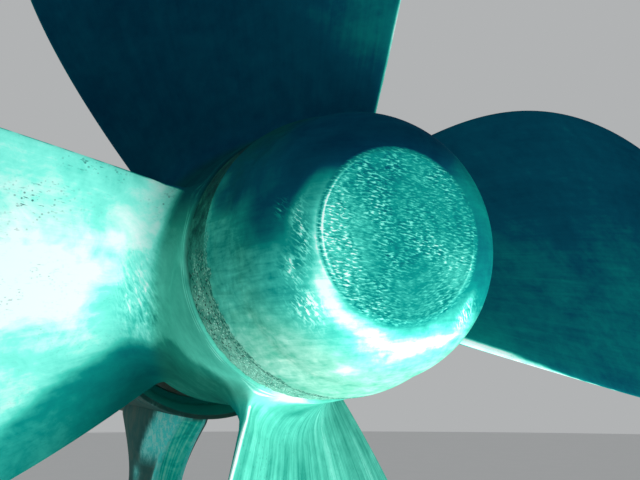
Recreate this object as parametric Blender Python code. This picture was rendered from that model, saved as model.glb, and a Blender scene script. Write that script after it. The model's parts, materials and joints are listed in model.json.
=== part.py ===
"""Four-bladed monobloc ship propeller on its tail shaft, carried by a single-arm shaft bracket.

Metres, +Z up. The shaft lies along Y with its after end towards -Y. The origin is the centre
of the flat face of the bracket's palm, and the shaft line runs above it and to its +X side.
Distances called "station" are measured forward, along +Y, from the base of the boss cap.
"""
import math

import bmesh
import bpy
from mathutils import Vector

for leftover in list(bpy.data.objects):
    bpy.data.objects.remove(leftover)

# Fits between neighbouring pieces
SEAT_GAP = 0.0003
BEARING_CLEARANCE = 0.0008
RING_CLEARANCE = 0.006
ROUND_STEPS = 48
BOLT_STEPS = 12

# Where the shaft line and the propeller lie over the palm
SHAFT_HEIGHT = 2.150
ARM_LEAN = math.radians(7.5)
ARM_STATION = 1.280

# Boss cap: a domed shell with a flat end
CAP_BASE_RADIUS = 0.280
CAP_LENGTH = 0.250
CAP_FACE_RADIUS = 0.148
CAP_SHOULDER_RADIUS = 0.2575
CAP_SHOULDER_LENGTH = 0.097
CAP_DOME_TURN = math.radians(77.0)
CAP_WALL = 0.030
CAP_SPIGOT_RADIUS = 0.240

# Joint band of cement, which tapers from the boss down to the cap's edge
BAND_LENGTH = 0.108
BAND_AFT_RADIUS = 0.277
BAND_FORWARD_RADIUS = 0.284

# Boss of the casting
BOSS_AFT_RADIUS = 0.288
BOSS_MIDDLE_RADIUS = 0.303
BOSS_FORWARD_RADIUS = 0.297
BOSS_LENGTH = 0.620
BOSS_EDGE = 0.004

# Blades
PROPELLER_RADIUS = 1.600
BLADE_COUNT = 4
FIRST_BLADE_ANGLE = math.radians(11.5)
ROOT_PITCH = 2.280
TIP_PITCH = 3.870
BLADE_MIDDLE_STATION = 0.381
BLADE_RAKE = 0.053
ROOT_CHORD = 0.605
CHORD_SLOPE = 0.717
TIP_ROUNDNESS = 4.1
ROOT_THICKNESS = 0.120
TIP_THICKNESS = 0.014
ROOT_EDGE = 0.022
TIP_EDGE = 0.008
FACE_SHARE = 0.16
TIP_SKEW = 0.103
ROOT_FILLET = 0.075
FILLET_REACH = 0.120
BLADE_DEPTH_IN_BOSS = 0.050
TIP_CUT = 0.0006
BLADE_STATIONS = 24
CHORD_STATIONS = 13

# Tail shaft
SHAFT_RADIUS = 0.155
LINER_RADIUS = 0.175
SHAFT_TAPER = 1.0 / 24.0
THREAD_RADIUS = 0.108
THREAD_LENGTH = 0.150
THREAD_EDGE = 0.006
SHAFT_FORWARD_LENGTH = 0.230
COUPLING_RADIUS = 0.290
COUPLING_THICKNESS = 0.065
COUPLING_FILLET = 0.040
COUPLING_HOLES = 8
COUPLING_HOLE_RADIUS = 0.021
COUPLING_HOLE_CIRCLE = 0.238

# Propeller nut
NUT_RADIUS = 0.172
NUT_LENGTH = 0.120

# Gland ring on the boss's forward face
GLAND_RADIUS = 0.245
GLAND_LENGTH = 0.045
GLAND_BOLTS = 6
GLAND_BOLT_CIRCLE = 0.212

# Bracket barrel with its bearing, open at the after end in a deep recess
BARREL_STATION = 0.896
BARREL_LENGTH = 1.000
BARREL_RADIUS = 0.344
RECESS_RADIUS = 0.302
RECESS_DEPTH = 0.095
RIM_WIDTH = 0.014
RIM_EDGE = 0.004
BARREL_FORWARD_EDGE = 0.040
BUSH_WALL = 0.045
LINER_PROJECTION = 0.060

# Rings bolted to the barrel, which keep the bush in
KEEPER_RADIUS = 0.284
KEEPER_LENGTH = 0.028
KEEPER_BOLTS = 6
KEEPER_BOLT_CIRCLE = 0.255

# Arm of the bracket, with a blunt after edge
ARM_CHORD = 0.360
ARM_THICKNESS = 0.130
ARM_AFT_WIDTH = 0.092
ARM_AFT_WIDTH_AT_RIM = 0.076
ARM_ROOT_FLARE = 0.205
ARM_FOOT_FLARE = 0.120
ARM_FLARE_REACH = 0.240
ARM_SIDE_FLARE = 0.45

# Palm of the bracket
PALM_LENGTH = 0.960
PALM_WIDTH = 0.520
PALM_THICKNESS = 0.055
PALM_CORNER = 0.120
PALM_BOLTS_A_SIDE = 4
PALM_BOLT_SPREAD = 0.240
PALM_BOLT_OFFSET = 0.195

# Bolts: shank radius, head across flats, head height, and depth in a tapped hole
SMALL_BOLT = {"shank": 0.010, "flats": 0.030, "head": 0.013, "depth": 0.035}
PALM_BOLT = {"shank": 0.024, "flats": 0.075, "head": 0.030}

BOSS_STATION = BAND_LENGTH
BOSS_END_STATION = BOSS_STATION + BOSS_LENGTH
BARREL_END_STATION = BARREL_STATION + BARREL_LENGTH
RECESS_STATION = BARREL_STATION + RECESS_DEPTH
RECESS_MOUTH_RADIUS = BARREL_RADIUS - RIM_WIDTH
HOLE_MOUTH = 0.010
BUSH_RADIUS = LINER_RADIUS + BEARING_CLEARANCE + BUSH_WALL
SHAFT_X = SHAFT_HEIGHT * math.tan(ARM_LEAN)


def material(name, colour, roughness, metallic):
    """A Principled BSDF with one colour."""
    made = bpy.data.materials.new(name)
    made.use_nodes = True
    shader = made.node_tree.nodes["Principled BSDF"]
    shader.inputs["Base Color"].default_value = (*colour, 1.0)
    shader.inputs["Roughness"].default_value = roughness
    shader.inputs["Metallic"].default_value = metallic
    return made


BRONZE = material("patinated_bronze", (0.22, 0.50, 0.44), 0.42, 0.55)
CEMENT = material("joint_cement", (0.10, 0.24, 0.20), 0.95, 0.0)
STEEL = material("shaft_steel", (0.36, 0.37, 0.37), 0.38, 0.9)
LINER = material("liner_bronze", (0.55, 0.42, 0.20), 0.30, 0.9)
PAINT = material("bracket_paint", (0.26, 0.21, 0.18), 0.70, 0.0)
RUBBER = material("bearing_rubber", (0.03, 0.03, 0.03), 0.80, 0.0)
FASTENER = material("fastener_steel", (0.30, 0.29, 0.27), 0.50, 0.8)


def line_empty(name):
    """An empty on the shaft line at the base of the boss cap, to carry round pieces."""
    made = bpy.data.objects.new(name, None)
    made.location = (SHAFT_X, -ARM_STATION, SHAFT_HEIGHT)
    bpy.context.scene.collection.objects.link(made)
    return made


SHAFT_LINE = line_empty("shaft_line")
BRACKET_LINE = line_empty("bracket_line")


def add_object(name, bm, coat, parent=None):
    """Turn a bmesh into a named object with its material and its parent."""
    bmesh.ops.recalc_face_normals(bm, faces=bm.faces)
    mesh = bpy.data.meshes.new(name)
    bm.to_mesh(mesh)
    bm.free()
    mesh.materials.append(coat)
    mesh.shade_smooth()
    mesh.set_sharp_from_angle(angle=math.radians(32.0))
    made = bpy.data.objects.new(name, mesh)
    made.parent = parent
    bpy.context.scene.collection.objects.link(made)
    return made


def turned_mesh(profile, steps=ROUND_STEPS):
    """Spin a closed outline of (station, radius) pairs about the shaft line."""
    bm = bmesh.new()
    points = [bm.verts.new((radius, station, 0.0)) for station, radius in profile]
    edges = [bm.edges.new(pair) for pair in zip(points, points[1:])]
    if profile[0][1] > 0.0:
        edges.append(bm.edges.new((points[-1], points[0])))
    bmesh.ops.spin(bm, geom=points + edges, cent=(0, 0, 0), axis=(0, -1, 0),
                   angle=math.tau, steps=steps)
    bmesh.ops.remove_doubles(bm, verts=bm.verts, dist=1e-5)
    return bm


def turned(name, profile, coat, parent, steps=ROUND_STEPS):
    """A round piece about the shaft line."""
    return add_object(name, turned_mesh(profile, steps), coat, parent)


def ring_profile(start, end, inner, outer, edge=0.0):
    """The outline of a plain ring, with an optional bevel on its two outer edges."""
    if edge == 0.0:
        return [(start, inner), (start, outer), (end, outer), (end, inner)]
    return [(start, inner), (start, outer - edge), (start + edge, outer),
            (end - edge, outer), (end, outer - edge), (end, inner)]


def cut(target, cutter):
    """Subtract a cutter, which stays in the file as a guide only."""
    cutter.hide_render = True
    cutter.display_type = "WIRE"
    modifier = target.modifiers.new("cut_" + cutter.name, "BOOLEAN")
    modifier.operation = "DIFFERENCE"
    modifier.object = cutter


def closed_ring(bm, sides, radius, station):
    """A closed loop of edges round the Y axis."""
    points = []
    for side in range(sides):
        angle = math.tau * side / sides
        points.append(bm.verts.new((radius * math.cos(angle), station, radius * math.sin(angle))))
    return [bm.edges.new((points[i], points[(i + 1) % sides])) for i in range(sides)]


def bolt(name, centre, direction, sizes, grip, parent):
    """A hexagon bolt: its head stands along the direction, its shank goes the other way."""
    corner_radius = sizes["flats"] / 2 / math.cos(math.pi / 6)
    bm = bmesh.new()
    foot = closed_ring(bm, BOLT_STEPS, sizes["shank"], -grip)
    neck = closed_ring(bm, BOLT_STEPS, sizes["shank"], SEAT_GAP)
    seat = closed_ring(bm, 6, corner_radius, SEAT_GAP)
    crown = closed_ring(bm, 6, corner_radius, sizes["head"])
    for lower, upper in ((foot, neck), (neck, seat), (seat, crown)):
        bmesh.ops.bridge_loops(bm, edges=lower + upper)
    for end in (foot, crown):
        bmesh.ops.contextual_create(bm, geom=end)
    made = add_object(name, bm, FASTENER, parent)
    made.rotation_mode = "QUATERNION"
    made.rotation_quaternion = Vector((0, 1, 0)).rotation_difference(Vector(direction))
    made.location = centre
    return made


def clear_hole(sizes):
    """Corner radius of a faceted hole whose flats clear a bolt's shank by the seat gap."""
    return (sizes["shank"] + SEAT_GAP) / math.cos(math.pi / BOLT_STEPS)


def hole_cutter(name, holes, parent):
    """One guide object with a closed rod for each (centre, direction, radius, depth).
    Each rod also stands out of the surface a little, so that its hole is open there."""
    bm = bmesh.new()
    for centre, direction, radius, depth in holes:
        direction = Vector(direction)
        placed = direction.to_track_quat("Z", "Y").to_matrix().to_4x4()
        placed.translation = Vector(centre) + direction * (HOLE_MOUTH - depth) / 2
        bmesh.ops.create_cone(bm, cap_ends=True, segments=BOLT_STEPS, radius1=radius,
                              radius2=radius, depth=depth + HOLE_MOUTH, matrix=placed)
    return add_object(name, bm, FASTENER, parent)


def around(radius, angle, station):
    """A point at an angle about the shaft line, counter-clockwise as seen from astern."""
    return Vector((radius * math.cos(angle), station, radius * math.sin(angle)))


def bolt_ring(count, radius, station):
    """Centres of bolts evenly spaced on a circle about the shaft line."""
    return [around(radius, math.tau * number / count, station) for number in range(count)]


def blade_share(radius):
    """How far out a radius lies, 0 at the boss and 1 at the tip."""
    return max(radius - CAP_BASE_RADIUS, 0.0) / (PROPELLER_RADIUS - CAP_BASE_RADIUS)


def blade_chord(radius):
    """Width of the blade along its helix: it widens outwards, then rounds in to the tip."""
    widening = ROOT_CHORD + CHORD_SLOPE * (radius - CAP_BASE_RADIUS)
    return widening * math.sqrt(max(1.0 - blade_share(radius) ** TIP_ROUNDNESS, 0.0))


def blade_point(radius, along, side, angle):
    """A point of the blade: along is -1 at the trailing edge and +1 at the leading edge,
    side is -1 on the driving face, which looks aft, and +1 on the back."""
    share = blade_share(radius)
    pitch = TIP_PITCH - (TIP_PITCH - ROOT_PITCH) * (1.0 - share) ** 2
    helix = math.atan2(pitch, math.tau * radius)
    thickness = ROOT_THICKNESS + (TIP_THICKNESS - ROOT_THICKNESS) * share
    edge = TIP_EDGE + (ROOT_EDGE - TIP_EDGE) * (1.0 - share) ** 3
    depth = max(BOSS_MIDDLE_RADIUS + FILLET_REACH - radius, 0.0) / FILLET_REACH
    fillet = ROOT_FILLET * min(depth, 1.0) ** 2.5 * (1.0 - along ** 4)
    crown = (thickness - edge) * (1.0 - along ** 2)
    if side > 0:
        height = edge / 2 + crown * (1.0 - FACE_SHARE) + fillet
    else:
        height = -(edge / 2 + crown * FACE_SHARE + fillet)
    across = along * blade_chord(radius) / 2
    turn_length = across * math.cos(helix) - height * math.sin(helix)
    forward = across * math.sin(helix) + height * math.cos(helix)
    middle = BLADE_MIDDLE_STATION + BLADE_RAKE * (radius - CAP_BASE_RADIUS)
    turn = angle - TIP_SKEW * share ** 2 + turn_length / radius
    return around(radius, turn, middle + forward)


def blade_mesh(angle):
    """One closed blade, from inside the boss to its tip."""
    inner = BOSS_AFT_RADIUS - BLADE_DEPTH_IN_BOSS
    span = PROPELLER_RADIUS - TIP_CUT - inner
    along = [-math.cos(math.pi * count / (CHORD_STATIONS - 1)) for count in range(CHORD_STATIONS)]
    bm = bmesh.new()
    rings = []
    for step in range(BLADE_STATIONS):
        portion = step / (BLADE_STATIONS - 1)
        radius = inner + span * (0.2 * portion + 0.8 * math.sin(portion * math.pi / 2))
        back = [blade_point(radius, place, +1, angle) for place in along]
        face = [blade_point(radius, place, -1, angle) for place in reversed(along)]
        rings.append([bm.verts.new(point) for point in back + face])
    size = len(rings[0])
    for lower, upper in zip(rings, rings[1:]):
        for i in range(size):
            j = (i + 1) % size
            bm.faces.new((lower[i], lower[j], upper[j], upper[i]))
    for ring in (rings[0], rings[-1]):
        for i in range(CHORD_STATIONS - 1):
            bm.faces.new((ring[i], ring[i + 1], ring[size - 2 - i], ring[size - 1 - i]))
    return bm


def boss_profile():
    """Outline of the boss round its tapered bore. It swells gently between its ends."""
    bore_forward = SHAFT_RADIUS + SEAT_GAP
    bore_aft = bore_forward - BOSS_LENGTH * SHAFT_TAPER
    start = BOSS_STATION + BOSS_EDGE
    end = BOSS_END_STATION - BOSS_EDGE
    middle = (start + end) / 2
    profile = [(BOSS_STATION, bore_aft), (BOSS_STATION, BOSS_AFT_RADIUS - BOSS_EDGE)]
    for count in range(9):
        share = count / 8
        station = start + (end - start) * share
        side = BOSS_AFT_RADIUS if station < middle else BOSS_FORWARD_RADIUS
        drop = (BOSS_MIDDLE_RADIUS - side) * abs(2 * share - 1) ** 2
        profile.append((station, BOSS_MIDDLE_RADIUS - drop))
    profile += [(BOSS_END_STATION, BOSS_FORWARD_RADIUS - BOSS_EDGE),
                (BOSS_END_STATION, bore_forward)]
    return profile


def make_casting():
    """The propeller: boss and four blades, cast in one piece."""
    casting = turned("propeller_casting", boss_profile(), BRONZE, SHAFT_LINE)
    for number in range(BLADE_COUNT):
        angle = FIRST_BLADE_ANGLE + math.tau * number / BLADE_COUNT
        blade = add_object(f"blade_form_{number + 1}", blade_mesh(angle), BRONZE, SHAFT_LINE)
        blade.hide_render = True
        blade.display_type = "WIRE"
        joined = casting.modifiers.new(f"blade_{number + 1}", "BOOLEAN")
        joined.operation = "UNION"
        joined.object = blade
    holes = [(centre, (0, 1, 0), clear_hole(SMALL_BOLT), SMALL_BOLT["depth"] + HOLE_MOUTH)
             for centre in bolt_ring(GLAND_BOLTS, GLAND_BOLT_CIRCLE, BOSS_END_STATION)]
    cut(casting, hole_cutter("gland_tapped_holes", holes, SHAFT_LINE))


def cap_outer_profile():
    """Outer curve of the cap: a gently narrowing skirt, then a dome down to the flat face."""
    points = []
    for count in range(5):
        share = count / 5
        narrowing = (CAP_BASE_RADIUS - CAP_SHOULDER_RADIUS) * share ** 1.5
        points.append((-CAP_SHOULDER_LENGTH * share, CAP_BASE_RADIUS - narrowing))
    for count in range(9):
        turn = CAP_DOME_TURN * count / 8
        reach = math.sin(turn) / math.sin(CAP_DOME_TURN)
        drop = (1 - math.cos(turn)) / (1 - math.cos(CAP_DOME_TURN))
        points.append((-CAP_SHOULDER_LENGTH - (CAP_LENGTH - CAP_SHOULDER_LENGTH) * reach,
                       CAP_SHOULDER_RADIUS - (CAP_SHOULDER_RADIUS - CAP_FACE_RADIUS) * drop))
    return points


def make_cap():
    """The boss cap: a shell that ends in a flat face and seats on the boss by a spigot."""
    inside = CAP_SPIGOT_RADIUS - CAP_WALL
    seat = BAND_LENGTH - SEAT_GAP
    inner = [(CAP_WALL - CAP_LENGTH, 0.0),
             (CAP_WALL - CAP_LENGTH, CAP_FACE_RADIUS - CAP_WALL),
             (-CAP_LENGTH * 0.6, inside - CAP_WALL),
             (-CAP_LENGTH * 0.2, inside),
             (seat, inside)]
    outer = [(seat, CAP_SPIGOT_RADIUS), (0.0, CAP_SPIGOT_RADIUS)]
    outer += cap_outer_profile() + [(-CAP_LENGTH, 0.0)]
    turned("boss_cap", inner + outer, BRONZE, SHAFT_LINE)


def make_joint_band():
    """The rough cement ring between the cap's edge and the boss."""
    inner = CAP_SPIGOT_RADIUS + SEAT_GAP
    end = BAND_LENGTH - SEAT_GAP
    profile = [(SEAT_GAP, inner), (SEAT_GAP, BAND_AFT_RADIUS), (end, BAND_FORWARD_RADIUS),
               (end, inner)]
    turned("cap_joint_band", profile, CEMENT, SHAFT_LINE)


def make_shaft():
    """The tail shaft with its taper, its threaded end and its coupling flange."""
    taper_end = SHAFT_RADIUS - BOSS_LENGTH * SHAFT_TAPER
    thread_start = BOSS_STATION - THREAD_LENGTH
    flange = BARREL_END_STATION + SHAFT_FORWARD_LENGTH
    profile = [(thread_start, 0.0),
               (thread_start, THREAD_RADIUS - THREAD_EDGE),
               (thread_start + THREAD_EDGE, THREAD_RADIUS),
               (BOSS_STATION, THREAD_RADIUS),
               (BOSS_STATION, taper_end),
               (BOSS_END_STATION, SHAFT_RADIUS),
               (flange - COUPLING_FILLET, SHAFT_RADIUS),
               (flange - COUPLING_FILLET * 0.3, SHAFT_RADIUS + COUPLING_FILLET * 0.3),
               (flange, SHAFT_RADIUS + COUPLING_FILLET),
               (flange, COUPLING_RADIUS),
               (flange + COUPLING_THICKNESS, COUPLING_RADIUS),
               (flange + COUPLING_THICKNESS, 0.0)]
    shaft = turned("tail_shaft", profile, STEEL, SHAFT_LINE)
    places = bolt_ring(COUPLING_HOLES, COUPLING_HOLE_CIRCLE, flange + COUPLING_THICKNESS)
    holes = [(centre, (0, 1, 0), COUPLING_HOLE_RADIUS, COUPLING_THICKNESS + HOLE_MOUTH)
             for centre in places]
    cut(shaft, hole_cutter("coupling_holes", holes, SHAFT_LINE))


def bolted_ring(name, start, length, inner, outer, circle, count, looks, coat, parent):
    """A ring with its bolts. looks is +1 where the heads look forward, -1 where they look aft."""
    ring = turned(name, ring_profile(start, start + length, inner, outer, 0.005), coat, parent)
    face = start + length if looks > 0 else start
    holes = []
    for number, centre in enumerate(bolt_ring(count, circle, face)):
        holes.append((centre, (0, looks, 0), clear_hole(SMALL_BOLT), length + HOLE_MOUTH))
        bolt(f"{name}_bolt_{number + 1}", centre, (0, looks, 0), SMALL_BOLT,
             length + SMALL_BOLT["depth"], parent)
    cut(ring, hole_cutter(name + "_holes", holes, parent))


def make_shaft_fittings():
    """Nut, liner and gland ring, which turn with the shaft."""
    nut_end = BOSS_STATION - SEAT_GAP
    start = BOSS_END_STATION + SEAT_GAP
    turned("propeller_nut",
           ring_profile(nut_end - NUT_LENGTH, nut_end, THREAD_RADIUS + SEAT_GAP, NUT_RADIUS, 0.008),
           LINER, SHAFT_LINE)
    turned("shaft_liner",
           ring_profile(start, BARREL_END_STATION + LINER_PROJECTION,
                        SHAFT_RADIUS + SEAT_GAP, LINER_RADIUS, 0.004),
           LINER, SHAFT_LINE)
    bolted_ring("boss_gland_ring", start, GLAND_LENGTH, LINER_RADIUS + SEAT_GAP, GLAND_RADIUS,
                GLAND_BOLT_CIRCLE, GLAND_BOLTS, +1, LINER, SHAFT_LINE)


def make_barrel():
    """The barrel of the bracket, with a thin rim round the flared recess at its after end."""
    bore = BUSH_RADIUS + SEAT_GAP
    end_radius = BARREL_RADIUS - BARREL_FORWARD_EDGE
    profile = [(RECESS_STATION, bore),
               (RECESS_STATION, RECESS_RADIUS),
               (BARREL_STATION, RECESS_MOUTH_RADIUS),
               (BARREL_STATION, BARREL_RADIUS - RIM_EDGE),
               (BARREL_STATION + RIM_EDGE, BARREL_RADIUS),
               (BARREL_END_STATION - BARREL_FORWARD_EDGE, BARREL_RADIUS),
               (BARREL_END_STATION - BARREL_FORWARD_EDGE * 0.3,
                BARREL_RADIUS - BARREL_FORWARD_EDGE * 0.3),
               (BARREL_END_STATION, end_radius),
               (BARREL_END_STATION, bore)]
    barrel = turned("bracket_barrel", profile, PAINT, BRACKET_LINE)
    depth = SMALL_BOLT["depth"] + HOLE_MOUTH
    holes = []
    for station, looks in ((RECESS_STATION, -1), (BARREL_END_STATION, 1)):
        for centre in bolt_ring(KEEPER_BOLTS, KEEPER_BOLT_CIRCLE, station):
            holes.append((centre, (0, looks, 0), clear_hole(SMALL_BOLT), depth))
    cut(barrel, hole_cutter("barrel_tapped_holes", holes, BRACKET_LINE))


def make_bearing():
    """The bearing bush inside the barrel, and the two rings that keep it in."""
    inner = LINER_RADIUS + BEARING_CLEARANCE
    turned("bearing_bush",
           ring_profile(RECESS_STATION + SEAT_GAP, BARREL_END_STATION - SEAT_GAP,
                        inner, BUSH_RADIUS),
           RUBBER, BRACKET_LINE)
    bolted_ring("bush_keeper_aft", RECESS_STATION - SEAT_GAP - KEEPER_LENGTH, KEEPER_LENGTH,
                LINER_RADIUS + RING_CLEARANCE, KEEPER_RADIUS, KEEPER_BOLT_CIRCLE,
                KEEPER_BOLTS, -1, FASTENER, BRACKET_LINE)
    bolted_ring("bush_keeper_forward", BARREL_END_STATION + SEAT_GAP, KEEPER_LENGTH,
                LINER_RADIUS + RING_CLEARANCE, KEEPER_RADIUS, KEEPER_BOLT_CIRCLE,
                KEEPER_BOLTS, +1, FASTENER, BRACKET_LINE)


def arm_outline(after, widest):
    """Outline of the arm's section as (along, half width) pairs: a blunt after edge at -1,
    nearly flat flanks, and a rounded forward edge at +1."""
    outline = [(-1.0, after * 0.92), (-0.98, after), (-0.45, after + (widest - after) * 0.8),
               (0.0, widest)]
    for count in range(1, 6):
        turn = math.pi / 2 * count / 6
        outline.append((math.sin(turn), widest * math.cos(turn)))
    return outline + [(1.0, 0.0)] + [(along, -width) for along, width in reversed(outline)]


def arm_section(distance, reach, level):
    """Points round the arm at a distance down from the shaft line. With a level, the points
    slide along the arm until they lie at that height."""
    down = Vector((-math.sin(ARM_LEAN), 0.0, -math.cos(ARM_LEAN)))
    across = Vector((math.cos(ARM_LEAN), 0.0, -math.sin(ARM_LEAN)))
    near_barrel = min(max(1 - (distance - BARREL_RADIUS) / ARM_FLARE_REACH, 0.0), 1.0)
    near_palm = min(max(1 - (reach - distance) / ARM_FLARE_REACH, 0.0), 1.0)
    flare = ARM_ROOT_FLARE * near_barrel ** 2 + ARM_FOOT_FLARE * near_palm ** 2
    half_chord = ARM_CHORD / 2 + flare
    widest = ARM_THICKNESS / 2 + flare * ARM_SIDE_FLARE * (1 - 0.5 * near_barrel)
    narrowing = (ARM_AFT_WIDTH - ARM_AFT_WIDTH_AT_RIM) / 2
    after = ARM_AFT_WIDTH / 2 - narrowing * near_barrel + flare * ARM_SIDE_FLARE * near_palm
    points = []
    for along, width in arm_outline(after, widest):
        point = down * distance + across * width
        point.y = ARM_STATION + half_chord * along
        if level is not None:
            point += down * ((point.z - level) / -down.z)
        points.append(point)
    return points


def make_arm():
    """The single arm, a strut from the barrel down to the palm, flared at both ends."""
    palm_top = PALM_THICKNESS + SEAT_GAP - SHAFT_HEIGHT
    reach = -palm_top / math.cos(ARM_LEAN)
    start = BARREL_RADIUS * 0.6
    distances = [start]
    distances += [BARREL_RADIUS + ARM_FLARE_REACH * count / 6 for count in range(7)]
    distances += [reach - ARM_FLARE_REACH * (6 - count) / 6 for count in range(6)]
    bm = bmesh.new()
    rings = [[bm.verts.new(point) for point in arm_section(distance, reach, None)]
             for distance in distances]
    rings.append([bm.verts.new(point) for point in arm_section(reach, reach, palm_top)])
    size = len(rings[0])
    for lower, upper in zip(rings, rings[1:]):
        for i in range(size):
            j = (i + 1) % size
            bm.faces.new((lower[i], lower[j], upper[j], upper[i]))
    bm.faces.new(rings[0])
    bm.faces.new(rings[-1])
    arm = add_object("bracket_arm", bm, PAINT, BRACKET_LINE)
    clear = BARREL_RADIUS + SEAT_GAP
    overrun = BARREL_LENGTH / 5
    core = turned_mesh([(BARREL_STATION - overrun, 0.0), (BARREL_STATION - overrun, clear),
                        (BARREL_END_STATION + overrun, clear),
                        (BARREL_END_STATION + overrun, 0.0)])
    cut(arm, add_object("arm_end_form", core, PAINT, BRACKET_LINE))


def palm_bolt_places():
    """Centres of the palm's bolts on its upper face."""
    places = []
    for side in (-1, 1):
        for number in range(PALM_BOLTS_A_SIDE):
            along = PALM_BOLT_SPREAD * (number - (PALM_BOLTS_A_SIDE - 1) / 2)
            places.append(Vector((side * PALM_BOLT_OFFSET, along, PALM_THICKNESS)))
    return places


def make_palm():
    """The flat foot of the bracket with its bolts. Its lower face is the mounting face."""
    bm = bmesh.new()
    outline = []
    for corner, (x_side, y_side) in enumerate(((1, 1), (-1, 1), (-1, -1), (1, -1))):
        centre = Vector((x_side * (PALM_WIDTH / 2 - PALM_CORNER),
                         y_side * (PALM_LENGTH / 2 - PALM_CORNER), 0.0))
        for step in range(7):
            angle = math.pi / 2 * (corner + step / 6)
            outline.append(centre + PALM_CORNER * Vector((math.cos(angle), math.sin(angle), 0)))
    face = bm.faces.new([bm.verts.new(point) for point in outline])
    raised = bmesh.ops.extrude_face_region(bm, geom=[face])
    tops = [item for item in raised["geom"] if isinstance(item, bmesh.types.BMVert)]
    bmesh.ops.translate(bm, verts=tops, vec=(0, 0, PALM_THICKNESS))
    palm = add_object("bracket_palm", bm, PAINT)
    holes = []
    for number, place in enumerate(palm_bolt_places()):
        holes.append((place, (0, 0, 1), clear_hole(PALM_BOLT), PALM_THICKNESS + HOLE_MOUTH))
        bolt(f"palm_bolt_{number + 1}", place, (0, 0, 1), PALM_BOLT,
             PALM_THICKNESS - SEAT_GAP, None)
    cut(palm, hole_cutter("palm_holes", holes, None))


make_casting()
make_cap()
make_joint_band()
make_shaft()
make_shaft_fittings()
make_barrel()
make_bearing()
make_arm()
make_palm()
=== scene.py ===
"""Looks of the ship propeller on its tail shaft and single-arm bracket.

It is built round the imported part, in metres, +Z up. The shaft runs along Y with its after end
towards -Y. Pieces are modelled about a local origin on the shaft line at the base of the boss
cap, and "station" is the distance forward of it, so their textures follow the shaft too.
"""
import json
import math

import bmesh
import bpy
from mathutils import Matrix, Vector, noise


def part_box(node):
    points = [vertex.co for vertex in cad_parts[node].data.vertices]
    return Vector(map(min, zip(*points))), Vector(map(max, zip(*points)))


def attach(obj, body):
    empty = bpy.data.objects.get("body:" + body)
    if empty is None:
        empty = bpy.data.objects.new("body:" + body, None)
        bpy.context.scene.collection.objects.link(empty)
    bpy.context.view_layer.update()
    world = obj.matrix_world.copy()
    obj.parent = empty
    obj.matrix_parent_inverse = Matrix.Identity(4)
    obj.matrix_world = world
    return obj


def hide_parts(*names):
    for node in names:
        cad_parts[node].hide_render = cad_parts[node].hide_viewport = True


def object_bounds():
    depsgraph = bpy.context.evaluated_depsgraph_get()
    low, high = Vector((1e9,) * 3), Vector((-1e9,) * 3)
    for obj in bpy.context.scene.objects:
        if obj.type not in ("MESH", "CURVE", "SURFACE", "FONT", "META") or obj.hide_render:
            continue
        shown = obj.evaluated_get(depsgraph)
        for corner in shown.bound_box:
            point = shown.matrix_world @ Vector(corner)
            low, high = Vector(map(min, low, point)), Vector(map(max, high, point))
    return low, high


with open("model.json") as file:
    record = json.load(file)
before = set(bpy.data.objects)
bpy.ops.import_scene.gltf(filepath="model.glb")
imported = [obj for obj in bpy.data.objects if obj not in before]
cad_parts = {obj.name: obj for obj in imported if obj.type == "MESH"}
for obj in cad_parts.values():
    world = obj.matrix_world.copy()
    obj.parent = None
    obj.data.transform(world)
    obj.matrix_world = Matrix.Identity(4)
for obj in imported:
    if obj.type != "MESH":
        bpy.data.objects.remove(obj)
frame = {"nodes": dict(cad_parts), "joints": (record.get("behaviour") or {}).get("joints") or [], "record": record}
CAD_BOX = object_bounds()

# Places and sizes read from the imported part
SEAT_GAP = 0.0003
SHAFT_X, _, SHAFT_Z = frame["joints"][0]["pos_m"]
PALM_LOW, PALM_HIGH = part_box("bracket_palm")
CAP_BASE_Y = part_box("cap_joint_band")[0].y - SEAT_GAP
ORIGIN = Vector((SHAFT_X, CAP_BASE_Y, SHAFT_Z))


def sizes_of(node):
    """Stations of the after and forward ends of a round node, and its outer radius."""
    low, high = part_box(node)
    return low.y - CAP_BASE_Y, high.y - CAP_BASE_Y, (high.x - low.x) / 2


# Cap, joint band and boss
CAP_START, _, CAP_RADIUS = sizes_of("boss_cap")
CAP_LENGTH = -CAP_START
CAP_FACE_RADIUS = 0.148
CAP_FACE_EDGE = 0.0025
CAP_SHOULDER_RADIUS = 0.2575
CAP_SHOULDER_LENGTH = 0.097
CAP_SKIRT_BEND = 1.5
CAP_DOME_TURN = math.radians(77.0)
CAP_SPIGOT_RADIUS = 0.240
CAP_WALL = 0.030
_, BAND_END, BAND_FORWARD_RADIUS = sizes_of("cap_joint_band")
BAND_LENGTH = BAND_END + SEAT_GAP
BAND_AFT_RADIUS = 0.277
BAND_GRAIN = 0.0035
BAND_EDGE = 0.005
BOSS_AFT_RADIUS = 0.288
BOSS_MIDDLE_RADIUS = 0.303
BOSS_FORWARD_RADIUS = 0.297
BOSS_END = sizes_of("propeller_casting")[1]
BOSS_EDGE = 0.004
SHAFT_RADIUS = 0.155
SHAFT_TAPER = 1.0 / 24.0

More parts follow.
